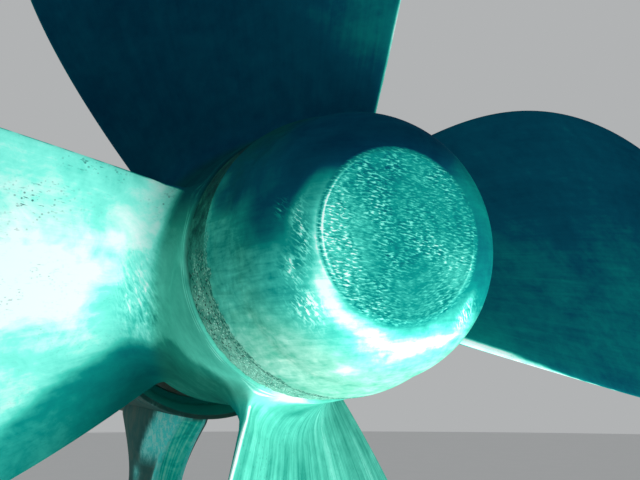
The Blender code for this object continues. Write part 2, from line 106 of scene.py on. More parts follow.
# Tail shaft, bracket and fastenings
THREAD_RADIUS = 0.108
COUPLING_THICKNESS = 0.065
COUPLING_FILLET = 0.040
COUPLING_HOLES = 8
COUPLING_HOLE_RADIUS = 0.021
COUPLING_HOLE_CIRCLE = 0.238
LINER_RADIUS = 0.175
BEARING_CLEARANCE = 0.0008
RING_CLEARANCE = 0.006
BARREL_START, BARREL_END, BARREL_RADIUS = sizes_of("bracket_barrel")
RECESS_RADIUS = 0.302
RECESS_MOUTH_RADIUS = 0.330
RECESS_DEPTH = 0.095
RIM_EDGE = 0.004
BARREL_FORWARD_EDGE = 0.040
ARM_LEAN = math.radians(7.5)
ARM_STATION = 1.280
ARM_START = BARREL_RADIUS * 0.6
ARM_CHORD = 0.360
ARM_THICKNESS = 0.130
ARM_AFT_WIDTH = 0.092
ARM_AFT_WIDTH_AT_RIM = 0.076
ARM_ROOT_FLARE = 0.205
ARM_FOOT_FLARE = 0.120
ARM_FLARE_REACH = 0.240
ARM_SIDE_FLARE = 0.45
ARM_EDGE_FLAT = 0.92
ARM_EDGE_ALONG = 0.98
ARM_SWELL = 2.07
ARM_CUT_MARGIN = 0.2
PALM_CORNER = 0.120
PALM_EDGE = 0.006
PALM_CHAMFER = 0.002
SMALL_SHANK = 0.010
SMALL_HEAD = 0.013
SMALL_BOLTS = 6
PALM_SHANK = 0.024
PALM_HEAD = 0.030
PALM_BOLTS = 8
BOLT_END_EDGE = 0.0015
BOLT_CROWN = 0.94

# Blades
PROPELLER_RADIUS = 1.5995
BLADE_COUNT = 4
FIRST_BLADE_ANGLE = math.radians(11.5)
ROOT_PITCH = 2.280
TIP_PITCH = 3.870
BLADE_MIDDLE_STATION = 0.381
BLADE_RAKE = 0.053
ROOT_CHORD = 0.605
CHORD_SLOPE = 0.717
TIP_ROUNDNESS = 4.1
ROOT_THICKNESS = 0.120
TIP_THICKNESS = 0.014
ROOT_EDGE = 0.022
TIP_EDGE = 0.008
EDGE_ROUNDNESS = 24
FACE_SHARE = 0.16
TIP_SKEW = 0.103
FILLET_RADIUS = 0.088
FILLET_CLEARANCE = FILLET_RADIUS * 1.5
EDGE_FILLET_RADIUS = 0.034
FILLET_END_ANGLE = math.radians(88.0)
FILLET_SKIRT = 0.028
SKIRT_DROP = 0.0022
BLADE_DEPTH_IN_BOSS = 0.040
TIP_CUT = 0.0008

# How finely the forms are divided
BLADE_STATIONS = 84
CHORD_STATIONS = 40
FILLET_STATIONS = 10
BOSS_STATIONS = 48
CAP_SKIRT_STATIONS = 10
CAP_DOME_STATIONS = 32
ROUND_STEPS = 192
CAP_STEPS = 288
BAND_STEPS = 420
BAND_ROWS = 36
HOLE_STEPS = 48
ARM_LEVELS = 90
CORNER_STEPS = 16
FINE_EDGE = 0.003


class Recipe:
    """A short way to write the node tree of one material."""

    def __init__(self, name):
        self.material = bpy.data.materials.new(name)
        self.material.use_nodes = True
        self.tree = self.material.node_tree
        # The piece's own coordinates, in metres
        self.place = self.node("TexCoord", {}, "Object")

    def feed(self, node, inputs):
        """Give the inputs of a node, by name or number, their values or links."""
        for key, value in inputs.items():
            if isinstance(value, bpy.types.NodeSocket):
                self.tree.links.new(value, node.inputs[key])
            else:
                node.inputs[key].default_value = value

    def node(self, kind, inputs, output=0, **settings):
        """Add a node with its properties and inputs. Returns one of its outputs."""
        made = self.tree.nodes.new("ShaderNode" + kind)
        for key, value in settings.items():
            setattr(made, key, value)
        self.feed(made, inputs)
        return made.outputs[output]

    def attribute(self, name, output="Fac"):
        """A value kept on the mesh."""
        return self.node("Attribute", {}, output, attribute_name=name)

    def parts_of(self, vector):
        """The three parts of a vector."""
        return self.node("SeparateXYZ", {0: vector}).node.outputs

    def turned(self, vector, turn):
        """Coordinates turned by three angles."""
        return self.node("Mapping", {"Vector": vector, "Rotation": turn})

    def noise(self, scale, detail=4.0, rough=0.55, bend=0.0, vector=None):
        """Cloudy values from 0 to 1, over the piece's or other coordinates."""
        return self.node("TexNoise", {"Vector": vector or self.place, "Scale": scale,
                                      "Detail": detail, "Roughness": rough, "Distortion": bend})

    def strokes(self, vector, scale, tilt, detail, rough, bend=0.0):
        """Noise stretched into strokes, tilted by degrees about the shaft line."""
        tilted = self.turned(vector, (0.0, math.radians(tilt), 0.0))
        stretched = self.node("Mapping", {"Vector": tilted, "Scale": scale})
        return self.noise(1.0, detail, rough, bend, stretched)

    def cells(self, scale, vector=None):
        """Distance to scattered points, for pits and grains."""
        return self.node("TexVoronoi", {"Vector": vector or self.place, "Scale": scale})

    def chain(self, operation, values):
        """One operation over several values, from the first to the last."""
        total, *others = values
        for value in others:
            total = self.node("Math", {0: total, 1: value}, operation=operation)
        return total

    def plus(self, *values):
        """Values added."""
        return self.chain("ADD", values)

    def minus(self, *values):
        """The first value less the others."""
        return self.chain("SUBTRACT", values)

    def times(self, *values):
        """Values multiplied."""
        return self.chain("MULTIPLY", values)

    def most(self, *values):
        """The largest value."""
        return self.chain("MAXIMUM", values)

    def swing(self, value, size, *shares):
        """A value from 0 to 1 made into one from -size/2 to +size/2, times any shares."""
        return self.times(self.minus(value, 0.5), size, *shares)

    def window(self, value, low, high, floor=0.0, top=1.0):
        """A value brought from low..high to floor..top, with soft ends."""
        return self.node("MapRange", {"Value": value, "From Min": low, "From Max": high,
                                      "To Min": floor, "To Max": top},
                         interpolation_type="SMOOTHSTEP")

    def mix(self, share, first, second):
        """Two colours mixed. Each is an output or three values."""
        inputs = {key: (*colour, 1.0) if isinstance(colour, tuple) else colour
                  for key, colour in ((6, first), (7, second))}
        return self.node("Mix", {0: share, **inputs}, 2, data_type="RGBA")

    def ramp(self, value, *stops):
        """Colours along a value, each given with its place before it."""
        colour = self.node("ValToRGB", {0: value})
        elements = colour.node.color_ramp.elements
        while len(elements) < len(stops):
            elements.new(0.5)
        for element, (place, *shade) in zip(elements, stops):
            element.position = place
            element.color = (*shade, 1.0)
        return colour

    def finish(self, colour, roughness, metallic, specular, *bumps):
        """Join colour, roughness and bumps, given as (height, strength, depth), to the shader."""
        inputs = {"Base Color": colour, "Roughness": roughness, "Metallic": metallic,
                  "Specular IOR Level": specular}
        bump = {}
        for height, strength, depth in bumps:
            bump |= {"Height": height, "Strength": strength, "Distance": depth}
            inputs["Normal"] = bump["Normal"] = self.node("Bump", bump)
        self.feed(self.tree.nodes["Principled BSDF"], inputs)
        return self.material


# Patinated bronze, from a dark film to bare brushed mint, and greener kinds for the hub
PATINA = ((0.00, 0.0005, 0.021, 0.062),
          (0.25, 0.002, 0.084, 0.140),
          (0.50, 0.004, 0.300, 0.265),
          (0.72, 0.068, 0.640, 0.520),
          (0.87, 0.230, 0.900, 0.760),
          (1.00, 0.780, 0.985, 0.960))
GREEN_PATINA = ((0.00, 0.001, 0.028, 0.042),
                (0.25, 0.003, 0.090, 0.092),
                (0.50, 0.024, 0.305, 0.220),
                (0.72, 0.115, 0.610, 0.460),
                (0.88, 0.270, 0.860, 0.700),
                (1.00, 0.860, 0.965, 0.920))
OLIVE_PATINA = ((0.40, 0.010, 0.180, 0.130),
                (0.66, 0.110, 0.480, 0.330),
                (0.82, 0.300, 0.640, 0.500),
                (1.00, 0.620, 0.860, 0.720))
DARK_SPECK = (0.004, 0.075, 0.085)
BRONZE_METALLIC = 0.01
# Stations of two turned lines round the boss
BOSS_LINES = (0.1165, 0.1265)


def blade_bronze():
    """Cast bronze of the blades and boss: mottled patina, brush marks along the span, pits."""
    r = Recipe("blade_bronze")
    _, station, _ = r.parts_of(r.place)
    # The tone kept on the mesh mixes patina with painted light and shade on the blades, boss and edges
    tone = r.attribute("tone")
    sheet = r.attribute("blade_map", "Vector")
    _, radius, blade = r.parts_of(sheet)
    pitted, stroked, streaky = r.parts_of(r.attribute("marks", "Vector"))
    bare = r.window(tone, 0.20, 0.75, 0.30, 1.0)
    clouds = r.noise(3.2, 5.0, 0.6, 0.6)
    patches = r.noise(11.0, 6.0, 0.62, 0.9)
    mottle = r.noise(30.0, 5.0, 0.65)
    streaks = r.strokes(sheet, (34.0, 2.6, 9.0), 0.0, 4.0, 0.6, 0.5)
    fine_streaks = r.strokes(sheet, (120.0, 6.0, 9.0), 0.0, 3.0, 0.6)
    strokes = r.strokes(r.place, (42.0, 42.0, 190.0), -58.0, 3.0, 0.55, 0.4)
    streaking = r.times(r.plus(r.swing(streaks, 0.50), r.swing(fine_streaks, 0.30)), streaky)
    stroking = r.swing(strokes, 0.90, stroked)
    brushing = r.times(r.plus(streaking, stroking), bare)
    shift = r.plus(r.swing(clouds, 0.26), r.swing(mottle, 0.15), r.swing(patches, 0.32, bare))
    lines = [r.window(r.chain("ABSOLUTE", (r.minus(station, line), 0.0)), 0.0036, 0.0010)
             for line in BOSS_LINES]
    lines = r.times(r.plus(*lines), r.window(r.noise(16.0), 0.35, 0.60))
    on_boss = r.window(radius, 0.318, 0.306)
    value = r.plus(tone, shift, brushing, r.times(lines, on_boss, 0.16))
    pit_field = r.times(r.window(r.noise(13.0, 2.0), 0.40, 0.60), pitted)
    pit_field = r.most(pit_field, r.minus(pitted, 1.2))
    pits = r.times(r.window(r.cells(95.0), 0.12, 0.30, 1.0, 0.0), pit_field)
    flecks = r.strokes(sheet, (230.0, 60.0, 9.0), 0.0, 2.0, 0.5)
    flecks = r.times(r.window(flecks, 0.62, 0.70), pit_field)
    on_bottom_face = r.window(blade, 3.1, 3.4, 0.0, 0.85)
    green = r.most(r.window(radius, 0.333, 0.306, 0.0, 0.85), on_bottom_face)
    colour = r.mix(green, r.ramp(value, *PATINA), r.ramp(value, *GREEN_PATINA))
    colour = r.mix(r.times(r.most(pits, flecks), 0.8), colour, DARK_SPECK)
    roughness = r.window(r.plus(mottle, brushing), 0.2, 0.9, 0.44, 0.66)
    return r.finish(colour, roughness, BRONZE_METALLIC, 0.0,
                    (streaks, 0.14, 0.004), (mottle, 0.20, 0.003), (stroking, 0.25, 0.003),
                    (pits, -0.6, 0.002))


def cap_bronze():
    """Bronze of the boss cap: blotchy scuffed sides, and chatter marks over the flat end."""
    r = Recipe("cap_bronze")
    side, station, height = r.parts_of(r.place)
    # The tone kept on the mesh mixes patina with painted shade above and a painted highlight round the lower
    # shoulder and the face's rim
    tone = r.attribute("tone")
    bare = r.window(tone, 0.25, 0.70, 0.25, 1.0)
    on_face = r.window(station, -CAP_LENGTH + 0.004, -CAP_LENGTH + 0.0015)
    blotches = r.noise(7.0, 5.0, 0.62, 0.8)
    cloudy = r.noise(22.0, 5.0, 0.62, 0.7)
    grain = r.noise(75.0, 4.0, 0.6)
    falling, rising = [r.strokes(r.place, (92.0, 60.0, 330.0), tilt, 2.0, 0.5, 0.3)
                       for tilt in (-7.0, 22.0)]
    low_right = r.times(r.window(height, -0.02, -0.10), r.window(side, -0.02, 0.06))
    chatter = r.node("Mix", {0: low_right, 2: falling, 3: rising}, data_type="FLOAT")
    crowding = r.window(r.noise(17.0, 3.0, 0.5), 0.36, 0.66, 0.35, 1.0)
    # Chatter marks on the face, lightened in colour as painted glints, and smoother
    glinting_marks = r.times(r.window(chatter, 0.50, 0.66), crowding)
    dark_marks = r.times(r.window(chatter, 0.48, 0.36), crowding)
    rings = r.node("TexWave", {"Vector": r.place, "Scale": 13.0, "Distortion": 2.0, "Detail": 2.0},
                   "Fac", wave_type="RINGS", rings_direction="Y", wave_profile="SIN")
    marks = r.plus(r.minus(r.times(glinting_marks, 0.40), r.times(dark_marks, 0.16)),
                   r.swing(rings, 0.05))
    brush = r.strokes(r.place, (80.0, 50.0, 290.0), -48.0, 3.0, 0.55, 0.5)
    brush = r.times(r.window(brush, 0.46, 0.62), r.attribute("scuff"))
    wide_brush = r.strokes(r.place, (11.0, 11.0, 95.0), 6.0, 4.0, 0.6, 0.6)
    skirt = r.window(station, -0.20, -0.10)
    low_skirt = r.window(station, -0.235, -0.170)
    value = r.plus(tone, r.swing(blotches, 0.30),
                   r.swing(cloudy, 0.30, r.window(skirt, 0.0, 1.0, 1.0, 1.6), bare),
                   r.swing(grain, 0.20, bare),
                   r.swing(wide_brush, 0.34, r.minus(1.0, on_face), bare),
                   r.times(marks, on_face), r.times(brush, 0.42))
    green = r.times(r.window(r.noise(5.5, 4.0, 0.6, 0.5), 0.36, 0.62, 0.30, 1.0), skirt)
    colour = r.mix(green, r.ramp(value, *PATINA), r.ramp(value, *GREEN_PATINA))
    olive = r.times(r.window(height, -0.08, -0.22, 0.0, 0.80), low_skirt)
    colour = r.mix(olive, colour, r.ramp(value, *OLIVE_PATINA))
    reach = r.window(station, -0.038, -0.002, -0.25, 0.22)
    spill = r.window(r.plus(r.noise(48.0, 5.0, 0.65), reach), 0.46, 0.58)
    spill = r.times(spill, r.window(height, 0.10, -0.08))
    grains = r.ramp(r.noise(190.0, 3.0, 0.6),
                    (0.38, 0.004, 0.040, 0.036), (0.50, 0.030, 0.230, 0.170),
                    (0.62, 0.300, 0.640, 0.500))
    colour = r.mix(r.times(spill, 0.8), colour, grains)
    roughness = r.window(r.times(glinting_marks, on_face), 0.0, 1.0, 0.50, 0.30)
    return r.finish(colour, roughness, BRONZE_METALLIC, 0.0,
                    (blotches, 0.10, 0.004), (cloudy, 0.14, 0.003),
                    (r.times(chatter, on_face), 0.30, 0.0015), (brush, 0.25, 0.0015))


def band_cement():
    """Rough dark green cement: smooth above, with pale and black grains below."""
    r = Recipe("band_cement")
    _, _, height = r.parts_of(r.place)
    grainy = r.window(height, 0.06, -0.12)
    lowest = r.window(height, -0.14, -0.25)
    # The base is lighter towards the bottom and darker towards the top: painted light and shade, as on the boss
    # and cap; the grains are the cement's own
    value = r.plus(r.noise(26.0, 6.0, 0.7), r.times(grainy, 0.27), r.times(lowest, 0.14))
    value = r.minus(value, r.window(height, 0.02, 0.22, 0.0, 0.22))
    base = r.ramp(value, (0.20, 0.001, 0.026, 0.036), (0.46, 0.004, 0.095, 0.075),
                  (0.66, 0.030, 0.270, 0.200), (0.90, 0.200, 0.560, 0.430))
    pale = r.times(r.window(r.cells(160.0), 0.24, 0.40, 1.0, 0.0),
                   r.window(r.noise(14.0, 3.0), 0.36, 0.54),
                   r.window(grainy, 0.1, 0.9, 0.0, 0.95))
    dark_cells = r.cells(125.0, r.turned(r.place, (0.4, 0.9, 0.2)))
    dark = r.times(r.window(dark_cells, 0.22, 0.34, 1.0, 0.0),
                   r.window(grainy, 0.0, 0.8, 0.25, 0.95),
                   r.window(lowest, 0.0, 1.0, 1.0, 0.45))
    colour = r.mix(dark, base, (0.003, 0.022, 0.022))
    colour = r.mix(pale, colour, (0.42, 0.86, 0.70))
    return r.finish(colour, 0.9, 0.0, 0.04, (r.noise(140.0, 3.0, 0.7), 0.7, 0.003),
                    (pale, 0.5, 0.002), (dark, -0.4, 0.002))


def bracket_coating():
    """Old brown-grey coating, stained teal, and worn to bare scratched metal. Values kept on the arm and barrel
    say where they are worn, lined or stained, and where a lighter teal is painted inside the barrel's recess as
    painted light."""
    r = Recipe("bracket_paint")
    sheet = r.attribute("arm_map", "Vector")
    across, _, _ = r.parts_of(sheet)
    wear = r.attribute("wear")
    face = r.attribute("after_face")
    base = r.ramp(r.noise(6.0, 6.0, 0.65, 0.5),
                  (0.25, 0.004, 0.075, 0.078), (0.46, 0.030, 0.130, 0.120),
                  (0.60, 0.080, 0.150, 0.125), (0.85, 0.150, 0.180, 0.145))
    scratches = r.strokes(r.place, (120.0, 50.0, 24.0), -math.degrees(ARM_LEAN), 4.0, 0.7, 0.6)
    crossing = r.strokes(r.place, (60.0, 60.0, 110.0), 35.0, 4.0, 0.7, 0.8)
    torn = r.most(r.window(scratches, 0.46, 0.60), r.window(crossing, 0.56, 0.66))
    lines = r.strokes(sheet, (11.0, 0.3, 0.5), 0.0, 3.0, 0.6)
    flaking = r.noise(16.0, 5.0, 0.65, 0.8)
    stain = r.swing(lines, 1.0, r.window(across, 0.5, -0.3, 0.35, 1.5))
    stain = r.ramp(r.plus(r.times(flaking, 0.85), stain),
                   (0.18, 0.001, 0.380, 0.320), (0.42, 0.008, 0.740, 0.600),
                   (0.58, 0.140, 0.930, 0.730), (0.76, 0.480, 0.980, 0.860))
    base = r.mix(face, base, stain)
    base = r.mix(r.times(wear, 0.95), base, (0.090, 0.900, 0.840))
    # Painted light: a lighter teal inside the barrel's shaded recess
    base = r.mix(r.attribute("inside"), base, (0.008, 0.480, 0.440))
    worn_field = r.window(r.noise(3.6, 4.0, 0.6, 0.6), 0.60, 0.74, 0.0, 0.5)
    worn = r.times(torn, r.most(r.times(worn_field, r.minus(1.0, face)), wear))
    colour = r.mix(worn, base, (0.340, 0.940, 0.850))
    roughness = r.window(worn, 0.0, 1.0, 0.74, 0.45)
    return r.finish(colour, roughness, 0.0, 0.06,
                    (r.times(r.window(lines, 0.35, 0.65, 0.0, 0.35), face), 0.5, 0.003),
                    (worn, -0.3, 0.002), (r.noise(70.0, 4.0, 0.6), 0.25, 0.002))


def turned_metal(name, dark, light, roughness, stain):
    """Machined metal with fine turning marks round the shaft and a little staining."""
    r = Recipe(name)
    marks = r.strokes(r.place, (2.0, 420.0, 2.0), 0.0, 2.0, 0.5)
    stained = r.window(r.noise(3.5, 5.0, 0.65, 0.8), 0.50, 0.72, 0.0, 0.75)
    colour = r.mix(stained, r.mix(r.noise(9.0, 5.0, 0.6), dark, light), stain)
    rough = r.window(stained, 0.0, 0.75, roughness, roughness + 0.3)
    return r.finish(colour, rough, 1.0, 0.5, (marks, 0.12, 0.001))


def bearing_rubber():
    """Black bearing rubber."""
    r = Recipe("bearing_rubber")
    colour = r.ramp(r.noise(20.0, 4.0),
                    (0.3, 0.012, 0.014, 0.014), (0.8, 0.040, 0.045, 0.044))
    return r.finish(colour, 0.75, 0.0, 0.3, (r.noise(200.0, 2.0), 0.2, 0.001))


def pale_paint():
    """Plain pale paint of the floor."""
    r = Recipe("pale_floor")
    colour = r.mix(r.noise(1.5, 3.0), (0.70, 0.71, 0.71), (0.74, 0.74, 0.74))
    return r.finish(colour, 0.9, 0.0, 0.1)


BLADE_BRONZE = blade_bronze()
CAP_BRONZE = cap_bronze()
BAND_CEMENT = band_cement()
BRACKET_PAINT = bracket_coating()
LINER_BRONZE = turned_metal("liner_bronze", (0.42, 0.27, 0.10), (0.58, 0.42, 0.18), 0.30,
                            (0.06, 0.30, 0.25))
SHAFT_STEEL = turned_metal("shaft_steel", (0.30, 0.31, 0.31), (0.44, 0.45, 0.45), 0.32,
                           (0.17, 0.10, 0.06))
FASTENER_STEEL = turned_metal("fastener_steel", (0.22, 0.23, 0.22), (0.36, 0.36, 0.34), 0.42,
                              (0.14, 0.09, 0.05))
BEARING_RUBBER = bearing_rubber()


def smooth(mesh, sharp=30.0):
    """Smooth shading, with edges kept where faces meet at more than an angle in degrees."""
    mesh.shade_smooth()
    mesh.set_sharp_from_angle(angle=math.radians(sharp))


def mesh_of(name, bm, coat):
    """A mesh with its material."""
    mesh = bpy.data.meshes.new(name)
    bm.to_mesh(mesh)
    bm.free()
    mesh.materials.append(coat)
    return mesh


def put(name, data, place):
    """An object in the scene, of a mesh, camera or lamp."""
    made = bpy.data.objects.new(name, data)
    made.location = place
    bpy.context.scene.collection.objects.link(made)
    return made


def add_piece(name, bm, coat, sharp=30.0):
    """A modelled piece, about the local origin on the shaft line."""
    bmesh.ops.recalc_face_normals(bm, faces=bm.faces)
    mesh = mesh_of(name, bm, coat)
    smooth(mesh, sharp)
    return put(name, mesh, ORIGIN)


def settle(piece, body, node):
    """Let a finished piece ride on a body and stand for a CAD node."""
    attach(piece, body)
    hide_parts(node)


def around(radius, turn, station):
    """A point at an angle round the shaft line."""
    return Vector((radius * math.cos(turn), station, radius * math.sin(turn)))


def radius_at(point):
    """Distance of a point from the shaft line."""
    return math.hypot(point.x, point.z)


def turn_at(point):
    """Angle of a point round the shaft line, in degrees."""
    return math.degrees(math.atan2(point.z, point.x)) % 360.0


def spaced(start, end, steps):
    """Evenly spaced values from start to end, with both ends."""
    return [start + (end - start) * step / steps for step in range(steps + 1)]


def limited(value, low=0.0, high=1.0):
    """A value kept between two others."""
    return min(max(value, low), high)


def rounded(outline, steps=4):
    """Round the corners of an outline given as (station, radius, corner size)."""
    points = []
    for i, (station, radius, size) in enumerate(outline):
        corner = Vector((station, radius))
        if size == 0.0:
            points.append(corner)
            continue
        before = Vector(outline[i - 1][:2])
        after = Vector(outline[(i + 1) % len(outline)][:2])
        start = corner + (before - corner).normalized() * size
        end = corner + (after - corner).normalized() * size
        points += [start * (1 - t) ** 2 + corner * 2 * t * (1 - t) + end * t ** 2
                   for t in spaced(0.0, 1.0, steps)]
    return [(point.x, point.y) for point in points]


def turned(profile, steps=ROUND_STEPS):
    """Turn a closed outline of (station, radius) pairs about the shaft line."""
    bm = bmesh.new()
    points = [bm.verts.new((radius, station, 0.0)) for station, radius in profile]
    edges = [bm.edges.new(pair) for pair in zip(points, points[1:])]
    if profile[0][1] > 0.0:
        edges.append(bm.edges.new((points[-1], points[0])))
    bmesh.ops.spin(bm, geom=points + edges, cent=(0, 0, 0), axis=(0, -1, 0),
                   angle=math.tau, steps=steps)
    bmesh.ops.remove_doubles(bm, verts=bm.verts, dist=1e-6)
    return bm


def turned_ring(start, end, inner, outer, edge=FINE_EDGE):
    """A plain ring with rounded outer corners."""
    return turned(rounded([(start, inner, edge * 0.5), (start, outer, edge), (end, outer, edge),
                           (end, inner, edge * 0.5)]))


def skin(loops, capped=True):
    """A skin over loops of points, one after another. Returns it with its loops of vertices."""
    bm = bmesh.new()
    rings = [[bm.verts.new(point) for point in loop] for loop in loops]
    size = len(rings[0])
    for lower, upper in zip(rings, rings[1:]):
        for i in range(size):
            j = (i + 1) % size
            bm.faces.new((lower[i], lower[j], upper[j], upper[i]))
    if capped:
        bm.faces.new(rings[0])
        bm.faces.new(rings[-1])
    return bm, rings


def apply_boolean(target, other, operation):
    """Join or cut the target with another object, which is then deleted."""
    modifier = target.modifiers.new("form", "BOOLEAN")
    modifier.operation = operation
    modifier.object = other
    graph = bpy.context.evaluated_depsgraph_get()
    result = bpy.data.meshes.new_from_object(target.evaluated_get(graph))
    target.modifiers.clear()
    target.data = result
    bpy.data.objects.remove(other)


def drill(piece, centres, direction, radius, length):
    """Cut round holes right through a piece. The centres are points half way along them."""
    bm = bmesh.new()
    for centre in centres:
        placed = Vector(direction).to_track_quat("Z", "Y").to_matrix().to_4x4()
        placed.translation = centre
        bmesh.ops.create_cone(bm, cap_ends=True, segments=HOLE_STEPS, radius1=radius,
                              radius2=radius, depth=length, matrix=placed)
    apply_boolean(piece, add_piece("drill", bm, piece.data.materials[0]), "DIFFERENCE")
    smooth(piece.data)


def blade_share(radius):
    """How far out a radius lies, 0 at the boss and 1 at the tip."""
    return max(radius - CAP_RADIUS, 0.0) / (PROPELLER_RADIUS - CAP_RADIUS)


def blade_chord(radius):
    """Width of the blade along its helix."""
    widening = ROOT_CHORD + CHORD_SLOPE * (radius - CAP_RADIUS)
    return widening * math.sqrt(max(1.0 - blade_share(radius) ** TIP_ROUNDNESS, 0.0))


def blade_helix(radius):
    """Angle of the blade's section from the plane of rotation."""
    pitch = TIP_PITCH - (TIP_PITCH - ROOT_PITCH) * (1.0 - blade_share(radius)) ** 2
    return math.atan2(pitch, math.tau * radius)


def blade_middle(radius):
    """Station of the middle of the blade's section."""
    return BLADE_MIDDLE_STATION + BLADE_RAKE * (radius - CAP_RADIUS)


def section_point(radius, turn):
    """A point of the blade's section, unrolled: (round the boss, station). A turn of 0 is at the
    trailing edge, then the back comes first and the driving face after it."""
    share = blade_share(radius)
    along = -math.cos(turn)
    thickness = ROOT_THICKNESS + (TIP_THICKNESS - ROOT_THICKNESS) * share
    edge = TIP_EDGE + (ROOT_EDGE - TIP_EDGE) * (1.0 - share) ** 3
    side = 1.0 if turn < math.pi else -1.0
    bulge = 1.0 - FACE_SHARE if side > 0 else FACE_SHARE
    roundness = math.sqrt(max(1.0 - abs(along) ** EDGE_ROUNDNESS, 0.0))
    height = side * (edge / 2 * roundness + (thickness - edge) * (1.0 - along ** 2) * bulge)
    across = along * blade_chord(radius) / 2
    helix = blade_helix(radius)
    aside = across * math.cos(helix) - height * math.sin(helix)
    forward = across * math.sin(helix) + height * math.cos(helix)
    return Vector((aside, blade_middle(radius) + forward))


def boss_radius(station):
    """Radius of the boss's side at a station."""
    share = (station - BAND_LENGTH) / (BOSS_END - BAND_LENGTH)
    side = BOSS_AFT_RADIUS if share < 0.5 else BOSS_FORWARD_RADIUS
    return BOSS_MIDDLE_RADIUS - (BOSS_MIDDLE_RADIUS - side) * abs(2 * share - 1) ** 2


def fillet_loop(turns, slope, skirt=0.0):
    """A loop round the blade's root, part of the way down its fillet: slope 0 is the fillet's
    top, and at a right angle it would lie flat on the boss. The skirt carries the fillet on
    at a shallow angle until it is under the boss's surface."""
    loop = []
    size = len(turns)
    for i, turn in enumerate(turns):
        fillet = (EDGE_FILLET_RADIUS + (FILLET_RADIUS - EDGE_FILLET_RADIUS)
                  * (1.0 - math.cos(turn) ** 4))
        above = fillet * (1.0 - math.sin(slope)) - SKIRT_DROP * skirt
        out = fillet * (1.0 - math.cos(slope) + FILLET_SKIRT / FILLET_RADIUS * skirt)
        radius = BOSS_MIDDLE_RADIUS + above
        here = section_point(radius, turn)
        ahead = section_point(radius, turns[(i + 1) % size])
        behind = section_point(radius, turns[i - 1])
        tangent = (ahead - behind).normalized()
        point = here + Vector((-tangent.y, tangent.x)) * out
        point.y = max(point.y, BAND_LENGTH + BOSS_EDGE)
        loop.append((boss_radius(point.y) + above, point))
    return loop


def wrapped(radius, point, angle):
    """An unrolled point laid round the shaft line."""
    return around(radius, angle - TIP_SKEW * blade_share(radius) ** 2 + point.x / radius, point.y)


def blade_form(angle):
    """One closed blade with its root fillet, from inside the boss to its tip."""
    count = 2 * CHORD_STATIONS
    turns = spaced(0.0, math.tau, count)[:-1]
    loops = [fillet_loop(turns, FILLET_END_ANGLE, 1.0)]
    loops += [fillet_loop(turns, slope) for slope in spaced(FILLET_END_ANGLE, 0.0, FILLET_STATIONS)]
    seat = [(radius - BLADE_DEPTH_IN_BOSS, point) for radius, point in loops[0]]
    top = loops[-1]
    clear = BOSS_MIDDLE_RADIUS + FILLET_CLEARANCE
    for step in (0.25, 0.5, 0.75):
        radii = [radius + (clear - radius) * step for radius, _ in top]
        loops.append([(radius, section_point(radius, turn)) for radius, turn in zip(radii, turns)])
    span = PROPELLER_RADIUS - TIP_CUT - clear
    for portion in spaced(0.0, 1.0, BLADE_STATIONS - 1):
        radius = clear + span * (0.25 * portion + 0.75 * math.sin(portion * math.pi / 2))
        loops.append([(radius, section_point(radius, turn)) for turn in turns])
    bm, rings = skin([[wrapped(radius, point, angle) for radius, point in loop]
                      for loop in [seat] + loops], capped=False)
    for ring in (rings[0], rings[-1]):
        for i in range(CHORD_STATIONS):
            corners = (ring[i], ring[i + 1], ring[count - i - 1], ring[(count - i) % count])
            bm.faces.new(list(dict.fromkeys(corners)))
    return bm


def boss_outline():
    """Outline of the boss round its tapered bore."""
    bore_forward = SHAFT_RADIUS + SEAT_GAP
    bore_aft = bore_forward - (BOSS_END - BAND_LENGTH) * SHAFT_TAPER
    stations = spaced(BAND_LENGTH, BOSS_END, BOSS_STATIONS)
    sides = [(station, boss_radius(station), BOSS_EDGE * (station in (stations[0], stations[-1])))
             for station in stations]
    return rounded([(BAND_LENGTH, bore_aft, 0.0)] + sides + [(BOSS_END, bore_forward, 0.0)])


def soft_step(value, low, high):
    """0 at low and 1 at high, smooth between and level beyond."""
    share = limited((value - low) / (high - low))
    return share * share * (3.0 - 2.0 * share)


def bump_at(value, middle, width):
    """1 at a value and fading to 0 away from it."""
    return math.exp(-((value - middle) / width) ** 2)


def spots_at(place, other, spots):
    """How strong some spots are at a place given by two values. Each spot has its strength, then
    its middle and width by the one value and by the other."""
    return sum(strength * bump_at(place, middle, width) * bump_at(other, centre, height)
               for strength, middle, width, centre, height in spots)


def read_line(place, line):
    """The value at a place on a bent line, given as (place, value) pairs."""
    for (start, first), (end, second) in zip(line, line[1:]):
        if place < end:
            return first + (second - first) * limited((place - start) / (end - start))
    return line[-1][1]


def blade_place(point):
    """Which blade a point belongs to, how far along its section it lies (-1 to 1), its radius,
    and whether it is on the driving face."""
    radius = radius_at(point)
    skewed = math.atan2(point.z, point.x) + TIP_SKEW * blade_share(radius) ** 2
    turn = (skewed - FIRST_BLADE_ANGLE) % math.tau
    blade = round(turn / (math.tau / BLADE_COUNT)) % BLADE_COUNT
    offset = (turn - blade * math.tau / BLADE_COUNT + math.pi) % math.tau - math.pi
    aside = offset * radius
    forward = point.y - blade_middle(radius)
    helix = blade_helix(radius)
    across = aside * math.cos(helix) + forward * math.sin(helix)
    height = forward * math.cos(helix) - aside * math.sin(helix)
    along = across / max(blade_chord(radius) / 2, 0.02)
    return blade, limited(along, -1.2, 1.2), radius, height < 0.0


# Tones, from 0 for a dark film to 1 for bare metal, also used for painted light and shade: the driving faces of
# the right, top, left and bottom blade are painted darker or lighter by how the light falls on each
RIGHT, TOP, LEFT, BOTTOM = range(BLADE_COUNT)
FACE_TONES = (0.25, 0.14, 0.82, 0.70)
BACK_TONE = 0.42
BOSS_TONE = 0.63
# Painted shade: the tone of the shaded top of the boss and of the cap's shaded upper part
SHADED_TONE = 0.10
# Where the painted shade under the boss begins: turn about the shaft line in degrees, and station
SHADE_LINE = ((206.0, 0.52), (211.0, 0.33), (221.0, 0.27), (230.0, 0.20), (262.0, 0.19))


